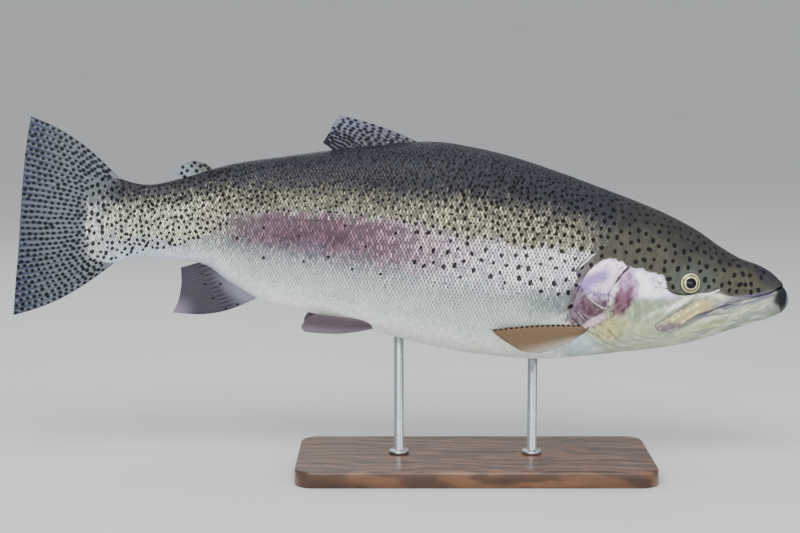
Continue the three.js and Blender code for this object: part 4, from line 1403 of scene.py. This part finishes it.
class Fin:
    """A thin blade whose rays run from a root curve to a margin curve."""

    def __init__(self, name, root, margin, bow, thickness, face=(0, 1, 0), rays=12, grid=(150, 60),
                 base="808080", washes=(), fray=0.012, wave=0.0, relief=0.25):
        self.name = name
        self.bow = bow
        self.thickness = thickness
        self.rays = rays
        self.root = self.even(root)
        self.margin = self.even(margin)
        self.face = np.array(face, float) / np.linalg.norm(face)
        self.grid = grid
        self.base = base
        self.washes = washes
        self.fray = fray
        self.wave = wave
        self.relief = relief

    @staticmethod
    def even(points):
        """A centripetal curve through points, as a function of its share of length."""
        points = np.asarray(points, float)
        padded = np.vstack([2 * points[0] - points[1], points, 2 * points[-1] - points[-2]])
        line = []
        for p in zip(padded[:-3], padded[1:-2], padded[2:-1], padded[3:]):
            knots = [0.0]
            for q, r in zip(p[:-1], p[1:]):
                knots.append(knots[-1] + max(np.linalg.norm(r - q), 1e-4) ** 0.5)
            t = np.linspace(knots[1], knots[2], 40)[:, None]
            a = [((knots[k + 1] - t) * p[k] + (t - knots[k]) * p[k + 1]) / (knots[k + 1] - knots[k])
                 for k in range(3)]
            b = [((knots[k + 2] - t) * a[k] + (t - knots[k]) * a[k + 1]) / (knots[k + 2] - knots[k])
                 for k in range(2)]
            line.append(((knots[2] - t) * b[0] + (t - knots[1]) * b[1]) / (knots[2] - knots[1]))
        line = np.vstack(line)
        length = np.concatenate([[0], np.cumsum(np.linalg.norm(np.diff(line, axis=0), axis=1))])
        length /= length[-1]
        return lambda share: np.stack([np.interp(share, length, line[:, k]) for k in range(3)], -1)

    def middle(self, ray, step):
        """Points of the blade's middle surface."""
        ray, step = np.broadcast_arrays(np.asarray(ray, float), np.asarray(step, float))
        root, margin = self.root(ray), self.margin(ray)
        points = root + (margin - root) * step[..., None]
        along, up = self.bow(ray)
        swell = np.sin(math.pi * np.clip(step, 0, 1))
        points[..., 0] += along * swell
        points[..., 2] += up * swell
        return points

    def build(self, material, node, slot="fin_membrane", spots=None):
        across, out = self.grid
        ray = 0.5 - 0.5 * np.cos(math.pi * np.linspace(0, 1, across))
        ray = 0.35 * ray + 0.65 * np.linspace(0, 1, across)
        step = np.linspace(0, 1, out)
        v, u = np.meshgrid(step, ray, indexing="ij")
        branch = smoothstep(0.35, 0.5, v)
        rib_one = 0.5 - 0.5 * np.cos(2 * math.pi * self.rays * u)
        rib_two = 0.5 - 0.5 * np.cos(4 * math.pi * self.rays * u)
        rib = rib_one * (1 - branch) + rib_two * branch
        fringe = 1 - self.fray * (1 - rib) * smoothstep(0.9, 1, v)
        points = self.middle(u, v * fringe)
        t = self.thickness
        oval = t["root"] * np.sqrt(np.maximum(0, 1 - (2 * u - 1) ** 2))
        blunt = t["rim"] * (1 + t["taper"] * (1 - v)) * (1 - np.abs(2 * u - 1) ** 10)
        blunt *= 1 - self.relief * (1 - rib)
        blunt *= smoothstep(1.02, 0.93, v) * 0.75 + 0.25
        fade = smoothstep(0, t["fade"], v)
        half = 0.5 * (oval * 0.85 * (1 - fade) + blunt * fade)
        drift = self.wave * np.sin(math.pi * 2.2 * u + 1.7 * v) * v
        left = points + (half + drift)[..., None] * self.face
        right = points + (drift - half)[..., None] * self.face
        left_flat, right_flat = left.reshape(-1, 3), right.reshape(-1, 3)
        both = np.concatenate([left_flat, right_flat])
        count = across * out
        quads = grid_faces(out, across, wrap=False)
        border = np.concatenate([np.arange(across), across * np.arange(1, out) + across - 1,
                                 (out - 1) * across + np.arange(across - 2, -1, -1),
                                 across * np.arange(out - 2, 0, -1)])
        rim = np.stack([border, np.roll(border, -1), np.roll(border, -1) + count, border + count], -1)
        faces = np.concatenate([quads, quads[:, ::-1] + count, rim])
        pigments = self.pigment_at(u.ravel(), v.ravel())
        rest = points.reshape(-1, 3)
        ink = np.full(count, -3.0) if spots is None else self.spot_field(rest, spots)
        length = np.linalg.norm(self.margin(u.ravel()) - self.root(u.ravel()), axis=1)
        fields = {"pigment": pigments, "rib": rib.ravel(), "ink": ink, "segment": v.ravel() * length / 2.2}
        fields = {key: np.concatenate([value, value]) for key, value in fields.items()}
        fields["rest"] = np.concatenate([rest, rest + [0, 40, 0]])
        piece = make_mesh(self.name, place(both), [faces], material, fields, closed=True)
        return finish_piece(piece, slot, node)

    def pigment_at(self, u, v):
        paint = Paint(np.tile(tint(self.base), (len(u), 1)))
        for wash, amount in self.washes:
            paint.lay(wash, amount(u, v))
        return paint.colour

    def spot_field(self, points, spots):
        """Signed distance into oval spots given as [ray, step, half length, half width]."""
        ray, step, long_half, short_half = np.asarray(spots, float).T
        centre = self.middle(ray, step)
        ahead = self.middle(ray, np.minimum(step + 0.02, 1)) - self.middle(ray, step - 0.02)
        ahead /= np.linalg.norm(ahead, axis=1, keepdims=True)
        ink = np.full(len(points), -3.0)
        for part in np.array_split(np.arange(len(points)), max(1, len(points) * len(spots) // 3_000_000)):
            offset = points[part, None] - centre[None]
            along = (offset * ahead[None]).sum(-1)
            square = (offset ** 2).sum(-1)
            across = np.sqrt(np.maximum(square - along ** 2, 0))
            reached = np.hypot(along / long_half, across / short_half)
            ink[part] = ((1 - reached) * np.minimum(long_half, short_half)).max(1)
        return np.maximum(ink, -3.0)


def rows_of_spots(seed, lines, gap, size, start=0.06, end=0.97, length=75.0, skip=0.0, stretch=1.25):
    """Spots set out in rows along the rays."""
    random = np.random.default_rng(seed)
    spots = []
    for index in range(lines):
        ray = (index + 0.5) / lines
        step = start + (0.5 * (index % 2) + random.uniform(0, 0.3)) * gap / length
        while step < end:
            if random.uniform() > skip:
                grow = random.uniform(0.8, 1.15)
                spots.append([ray + random.normal(0, 0.1) / lines, step, size * stretch * grow, size * grow])
            step += gap / length * random.uniform(0.9, 1.12)
    return spots


def make_fins():
    tail = Fin(
        "fin_caudal_blade",
        root=[[TAIL_FIN_ROOT - 1.5, 0, 44.0], [TAIL_FIN_ROOT - 1.5, 0, 8], [TAIL_FIN_ROOT - 1.5, 0, -28.0]],
        margin=[[642.5, 0, 88.6], [645, 0, 60], [646, 0, 20],
                [646, 0, -20], [646.8, 0, -55], [647, 0, -80.8]],
        bow=lambda ray: (0 * ray, 7 * (1 - 2 * ray)),
        thickness={"root": 10.0, "rim": 0.85, "taper": 1.3, "fade": 0.36},
        rays=17, grid=(210, 90), fray=0.004, wave=0.5, relief=0.07,
        base="707880",
        washes=[("485068", lambda u, v: smoothstep(0.5, 1.0, v)),
                ("f0f4f0", lambda u, v: smoothstep(0.4, 0.1, v) * bell(u - 0.55, 0.22))])
    tail.build(fin_material("tail_fin_skin", "8e9295"), "fin_caudal",
               spots=rows_of_spots(5, 35, 4.7, 1.42, start=0.1, end=0.99, stretch=1.3))
    dorsal = Fin(
        "fin_dorsal_blade",
        root=[[312, 0, 94.4], [348, 0, 88], [385, 0, 81.4]],
        margin=[[385.5, 0, 113.4], [390, 0, 107], [394, 0, 98], [398, 0, 89.6]],
        bow=lambda ray: (0 * ray, 3 * (1 - ray)),
        thickness={"root": 4.4, "rim": 0.8, "taper": 1.4, "fade": 0.7},
        rays=12, grid=(130, 60), fray=0.006, wave=0.7,
        base="484c50",
        washes=[("787c90", lambda u, v: smoothstep(0.0, 1.0, v))])
    dorsal.build(fin_material("dorsal_fin_skin", "a4a3b0"), "fin_dorsal",
                 spots=rows_of_spots(11, 12, 5.0, 1.2, start=0.1, length=52, stretch=1.6))
    adipose = Fin(
        "fin_adipose_blade",
        root=[[485, 0, 56.5], [508, 0, 47.4]],
        margin=[[496, 0, 63.6], [505, 0, 64.2], [513, 0, 60], [519.5, 0, 52.4]],
        bow=lambda ray: (0 * ray, 1.2 + 0 * ray),
        thickness={"root": 4.6, "rim": 1.6, "taper": 0.8, "fade": 0.9},
        rays=3, grid=(90, 40), fray=0.0,
        base="686860",
        washes=[("98a4a8", lambda u, v: smoothstep(0.1, 0.9, u))])
    adipose.build(fin_material("adipose_fin_skin", "8f999d"), "fin_adipose",
                  spots=rows_of_spots(12, 5, 5.0, 1.7, start=0.3, end=0.95, length=16, stretch=1.0))
    anal = Fin(
        "fin_anal_blade",
        root=[[437, 0, -42.8], [462, 0, -32], [486, 0, -17.6]],
        margin=[[512, 0, -65], [508, 0, -54], [506.5, 0, -40], [508, 0, -26]],
        bow=lambda ray: (0 * ray, -7.5 * (1 - ray)),
        thickness={"root": 4.8, "rim": 0.8, "taper": 1.4, "fade": 0.7},
        rays=12, grid=(130, 60), fray=0.006, wave=0.6,
        base="504c58",
        washes=[("b0b0bc", lambda u, v: smoothstep(0.35, 0.0, v) * smoothstep(1.1, 0.2, u)),
                ("a098a8", lambda u, v: smoothstep(0.7, 1.0, v) * smoothstep(0.5, 0.0, u))])
    anal.build(fin_material("anal_fin_skin", "6b6470"), "fin_anal",
               spots=rows_of_spots(13, 12, 6.5, 0.8, start=0.22, end=0.52, length=45, skip=0.75, stretch=1.6))
    for side, name in ((1, "left"), (-1, "right")):
        pectoral = Fin(
            f"fin_pectoral_{name}_blade",
            root=[[164, side * 32, -37], [167, side * 30.5, -41], [169.5, side * 28, -45.5]],
            margin=[[246.5, side * 39, -46.8], [238, side * 35, -54], [228, side * 31.5, -60],
                    [218, side * 28.5, -64.6], [204, side * 26, -65.4]],
            bow=lambda ray: (0 * ray, 2 * (1 - ray) - 2.5 * ray),
            thickness={"root": 4.2, "rim": 0.8, "taper": 1.4, "fade": 0.7},
            face=(0, side * 0.8, -0.6), rays=13, grid=(120, 60), fray=0.006, wave=0.3,
            base="847460",
            washes=[("c0bcb8", lambda u, v: smoothstep(0.5, 1.0, u)),
                    ("605850", lambda u, v: 0.6 * smoothstep(0.25, 0.0, v))])
        leading = [[0.03, step, 1.25, 0.95] for step in np.arange(0.02, 0.97, 4.4 / 84)]
        pectoral.build(fin_material(f"pectoral_{name}_skin", "a99078"), f"fin_pectoral_{name}",
                       spots=leading)
        pelvic = Fin(
            f"fin_pelvic_{name}_blade",
            root=[[338, side * 9, -59.5], [342, side * 13, -56.5], [347, side * 16.5, -53]],
            margin=[[399, side * 15.5, -67.6], [402, side * 18, -63.6], [399, side * 20, -57],
                    [391, side * 20.5, -50.6]],
            bow=lambda ray: (0 * ray, -3.4 * (1 - ray)),
            thickness={"root": 4.2, "rim": 0.8, "taper": 1.4, "fade": 0.7},
            face=(0, side, -0.35), rays=9, grid=(90, 50), fray=0.006, wave=0.3,
            base="6c6068",
            washes=[("a09ca8", lambda u, v: 0.8 * smoothstep(0.5, 0.0, u))])
        pelvic.build(fin_material(f"pelvic_{name}_skin", "857780"), f"fin_pelvic_{name}")


# ---- the eyes ------------------------------------------------------------------------------

def make_eyes():
    material = eye_material()
    around, rings = 72, 36
    share = share_at(EYE_STATION, EYE_HEIGHT)
    surface = float(look_up(SIDE, np.array([EYE_STATION]), np.array([share]))[0])
    for side, name in ((1, "left"), (-1, "right")):
        polar = np.linspace(0, math.pi, rings + 1)[1:-1]
        turn = np.arange(around) * 2 * math.pi / around
        p, t = np.meshgrid(polar, turn, indexing="ij")
        radius = EYE_RADIUS * np.sin(p)
        dome = EYE_DEPTH * np.cos(p)
        local = np.stack([radius * np.cos(t), side * dome, radius * np.sin(t)], -1).reshape(-1, 3)
        local = np.vstack([local, [[0, side * EYE_DEPTH, 0], [0, -side * EYE_DEPTH, 0]]])
        c, n = math.cos(side * EYE_TURN), math.sin(side * EYE_TURN)
        roll = np.array([[1, 0, 0], [0, c, -n], [0, n, c]])
        c, n = math.cos(-side * EYE_TURN), math.sin(-side * EYE_TURN)
        yaw = np.array([[c, -n, 0], [n, c, 0], [0, 0, 1]])
        turned = local @ (yaw @ roll).T
        # The eye is turned in the fish's own frame, whose first axis points ahead here.
        pose = np.stack([EYE_STATION - turned[:, 0], side * (surface - EYE_INSET) + turned[:, 1],
                         EYE_HEIGHT + turned[:, 2]], -1)
        ring = np.hypot(local[:, 0], local[:, 2])
        count = len(polar) * around
        quads = grid_faces(len(polar), around, wrap=True)
        index = np.arange(around)
        after = (index + 1) % around
        last = (len(polar) - 1) * around
        caps = [np.stack([np.full(around, count), index, after], 1),
                np.stack([np.full(around, count + 1), last + after, last + index], 1)]
        piece = make_mesh(f"eye_{name}_globe", place(pose), [quads, *caps], material,
                          {"ring": ring, "rest": pose}, closed=True)
        finish_piece(piece, "eye", f"eye_{name}")


# ---- the stand -----------------------------------------------------------------------------

BASE_LENGTH, BASE_WIDTH, BASE_HEIGHT = 300.0, 124.0, 14.0
BASE_CORNER, BASE_BEVEL = 16.0, 2.5
ROD_RADIUS, ROD_IN_FISH, COLLAR_RADIUS, COLLAR_HEIGHT = 4.0, 12.0, 8.5, 3.0


def make_stand():
    wood, steel = wood_material(), steel_material()
    corner = 14
    levels = []
    for angle in np.linspace(0, math.pi / 2, 7):
        levels.append([BASE_BEVEL * (1 - math.sin(angle)), BASE_HEIGHT - BASE_BEVEL * (1 - math.cos(angle))])
    levels = [[0.8, 0.0], [0.0, 0.8]] + levels[::-1]
    rings = []
    for inset, z in levels:
        radius = BASE_CORNER - inset
        loop = []
        for quarter in range(4):
            sx, sy = ((1, 1), (-1, 1), (-1, -1), (1, -1))[quarter]
            for angle in np.linspace(quarter * math.pi / 2, (quarter + 1) * math.pi / 2, corner):
                loop.append([sx * (BASE_LENGTH / 2 - BASE_CORNER) + radius * math.cos(angle),
                             sy * (BASE_WIDTH / 2 - BASE_CORNER) + radius * math.sin(angle), z])
        rings.append(loop)
    points = np.array(rings)
    rows, columns = points.shape[:2]
    faces = grid_faces(rows, columns, wrap=True)[:, ::-1]
    flat = points.reshape(-1, 3) * MM
    top = (rows - 1) * columns + np.arange(columns)
    caps = [np.arange(columns)[::-1][None], top[None]]
    board = make_mesh("stand_board", flat, [faces, *caps], wood, closed=True)
    finish_piece(board, "stand_wood", "stand_base")
    for name, station in zip(("front", "rear"), ROD_STATIONS):
        foot = place(np.array([[station, 0.0, float(belly_height(station))]]))[0] / MM
        top_height = foot[2] + ROD_IN_FISH
        seat = BASE_HEIGHT + 0.3
        profile = [[0, seat - 8], [ROD_RADIUS, seat - 8], [ROD_RADIUS, seat], [COLLAR_RADIUS - 0.3, seat],
                   [COLLAR_RADIUS, seat + 0.3], [COLLAR_RADIUS, seat + COLLAR_HEIGHT - 0.8],
                   [COLLAR_RADIUS - 0.3, seat + COLLAR_HEIGHT - 0.2],
                   [COLLAR_RADIUS - 0.9, seat + COLLAR_HEIGHT],
                   [ROD_RADIUS + 0.5, seat + COLLAR_HEIGHT], [ROD_RADIUS, seat + COLLAR_HEIGHT + 0.5],
                   [ROD_RADIUS, top_height - 0.5], [ROD_RADIUS - 0.5, top_height], [0, top_height]]
        profile = np.array(profile)
        turn = np.arange(48) * 2 * math.pi / 48
        body = profile[1:-1]
        ring_points = np.stack([foot[0] + body[:, :1] * np.cos(turn), foot[1] + body[:, :1] * np.sin(turn),
                                np.broadcast_to(body[:, 1:], (len(body), 48))], -1).reshape(-1, 3)
        ends = np.array([[foot[0], foot[1], profile[0, 1]], [foot[0], foot[1], profile[-1, 1]]])
        count = len(ring_points)
        quads = grid_faces(len(body), 48, wrap=True)[:, ::-1]
        index = np.arange(48)
        after = (index + 1) % 48
        last = (len(body) - 1) * 48
        caps = [np.stack([np.full(48, count), after, index], 1),
                np.stack([np.full(48, count + 1), last + index, last + after], 1)]
        rod = make_mesh(f"stand_{name}_rod", np.vstack([ring_points, ends]) * MM, [quads, *caps], steel,
                        closed=True)
        finish_piece(rod, "stand_steel", f"stand_rod_{name}")


# ---- floor, lights and camera --------------------------------------------------------------

def make_room():
    shade = Shader("floor_paper")
    place_in = shade.add("ShaderNodeTexCoord").outputs["Object"]
    mottle = shade.noise(place_in, 7.0, 3.0)
    shade.set(Base_Color=shade.mix(mottle, "c3c4c3", "cccdcb"), Roughness=0.8)
    rise = [[3.0 + 2.2 * math.sin(a), 1.7 - 1.7 * math.cos(a)] for a in np.linspace(0, math.pi / 2, 24)]
    profile = np.array([[0.5, 0.0], [1.5, 0.0], [2.5, 0.0], *rise])
    turn = np.arange(96) * 2 * math.pi / 96
    rings = [[r * np.cos(turn), r * np.sin(turn), np.full(96, z)] for r, z in profile]
    points = np.concatenate([np.array(ring).T for ring in rings] + [np.zeros((1, 3))])
    around = np.arange(96)
    middle = np.stack([np.full(96, len(points) - 1), around, (around + 1) % 96], 1)
    floor = make_mesh("backdrop", points, [grid_faces(len(profile), 96, wrap=True), middle], shade.material)


def add_light(name, location, target, size, power, tint="ffffff"):
    data = bpy.data.lights.new(name, "AREA")
    data.shape = "RECTANGLE"
    data.size, data.size_y = size
    data.energy = power
    data.color = colour(tint)
    lamp = bpy.data.objects.new(name, data)
    lamp.location = location
    lamp.rotation_euler = (Vector(target) - Vector(location)).to_track_quat("-Z", "Y").to_euler()
    bpy.context.scene.collection.objects.link(lamp)


def make_lights():
    world = bpy.data.worlds.new("soft_sky")
    world.use_nodes = True
    world.node_tree.nodes["Background"].inputs["Color"].default_value = (0.92, 0.95, 1.0, 1)
    world.node_tree.nodes["Background"].inputs["Strength"].default_value = 0.75
    bpy.context.scene.world = world
    add_light("key", (-0.25, -1.15, 1.55), (-0.05, 0.0, 0.16), (1.4, 0.8), 34)
    add_light("low_fill", (-0.1, -1.6, 0.3), (-0.06, 0.0, 1.8), (2.2, 0.4), 25)
    add_light("overhead", (-0.05, 0.3, 1.6), (-0.06, 0.0, 0.17), (1.6, 0.9), 6)
    add_light("head_side", (1.3, -0.6, 0.7), (0.1, 0.0, 0.17), (0.7, 0.7), 5)
    add_light("rear_rim", (-0.6, 1.2, 1.1), (-0.06, 0.0, 0.18), (1.2, 0.6), 5)


def make_camera():
    """The view of a 75 mm lens, level with the fish and eight degrees above it."""
    data = bpy.data.cameras.new("camera")
    data.lens = 75
    data.sensor_width = 36
    camera = bpy.data.objects.new("camera", data)
    camera.location = (-0.06307, -1.38206, 0.36850)
    camera.rotation_euler = (math.radians(82), 0, 0)
    bpy.context.scene.collection.objects.link(camera)
    bpy.context.scene.camera = camera


make_camera()
make_skin(skin_material())
make_scales(scale_material())
make_fins()
make_eyes()
make_stand()
make_room()
make_lights()
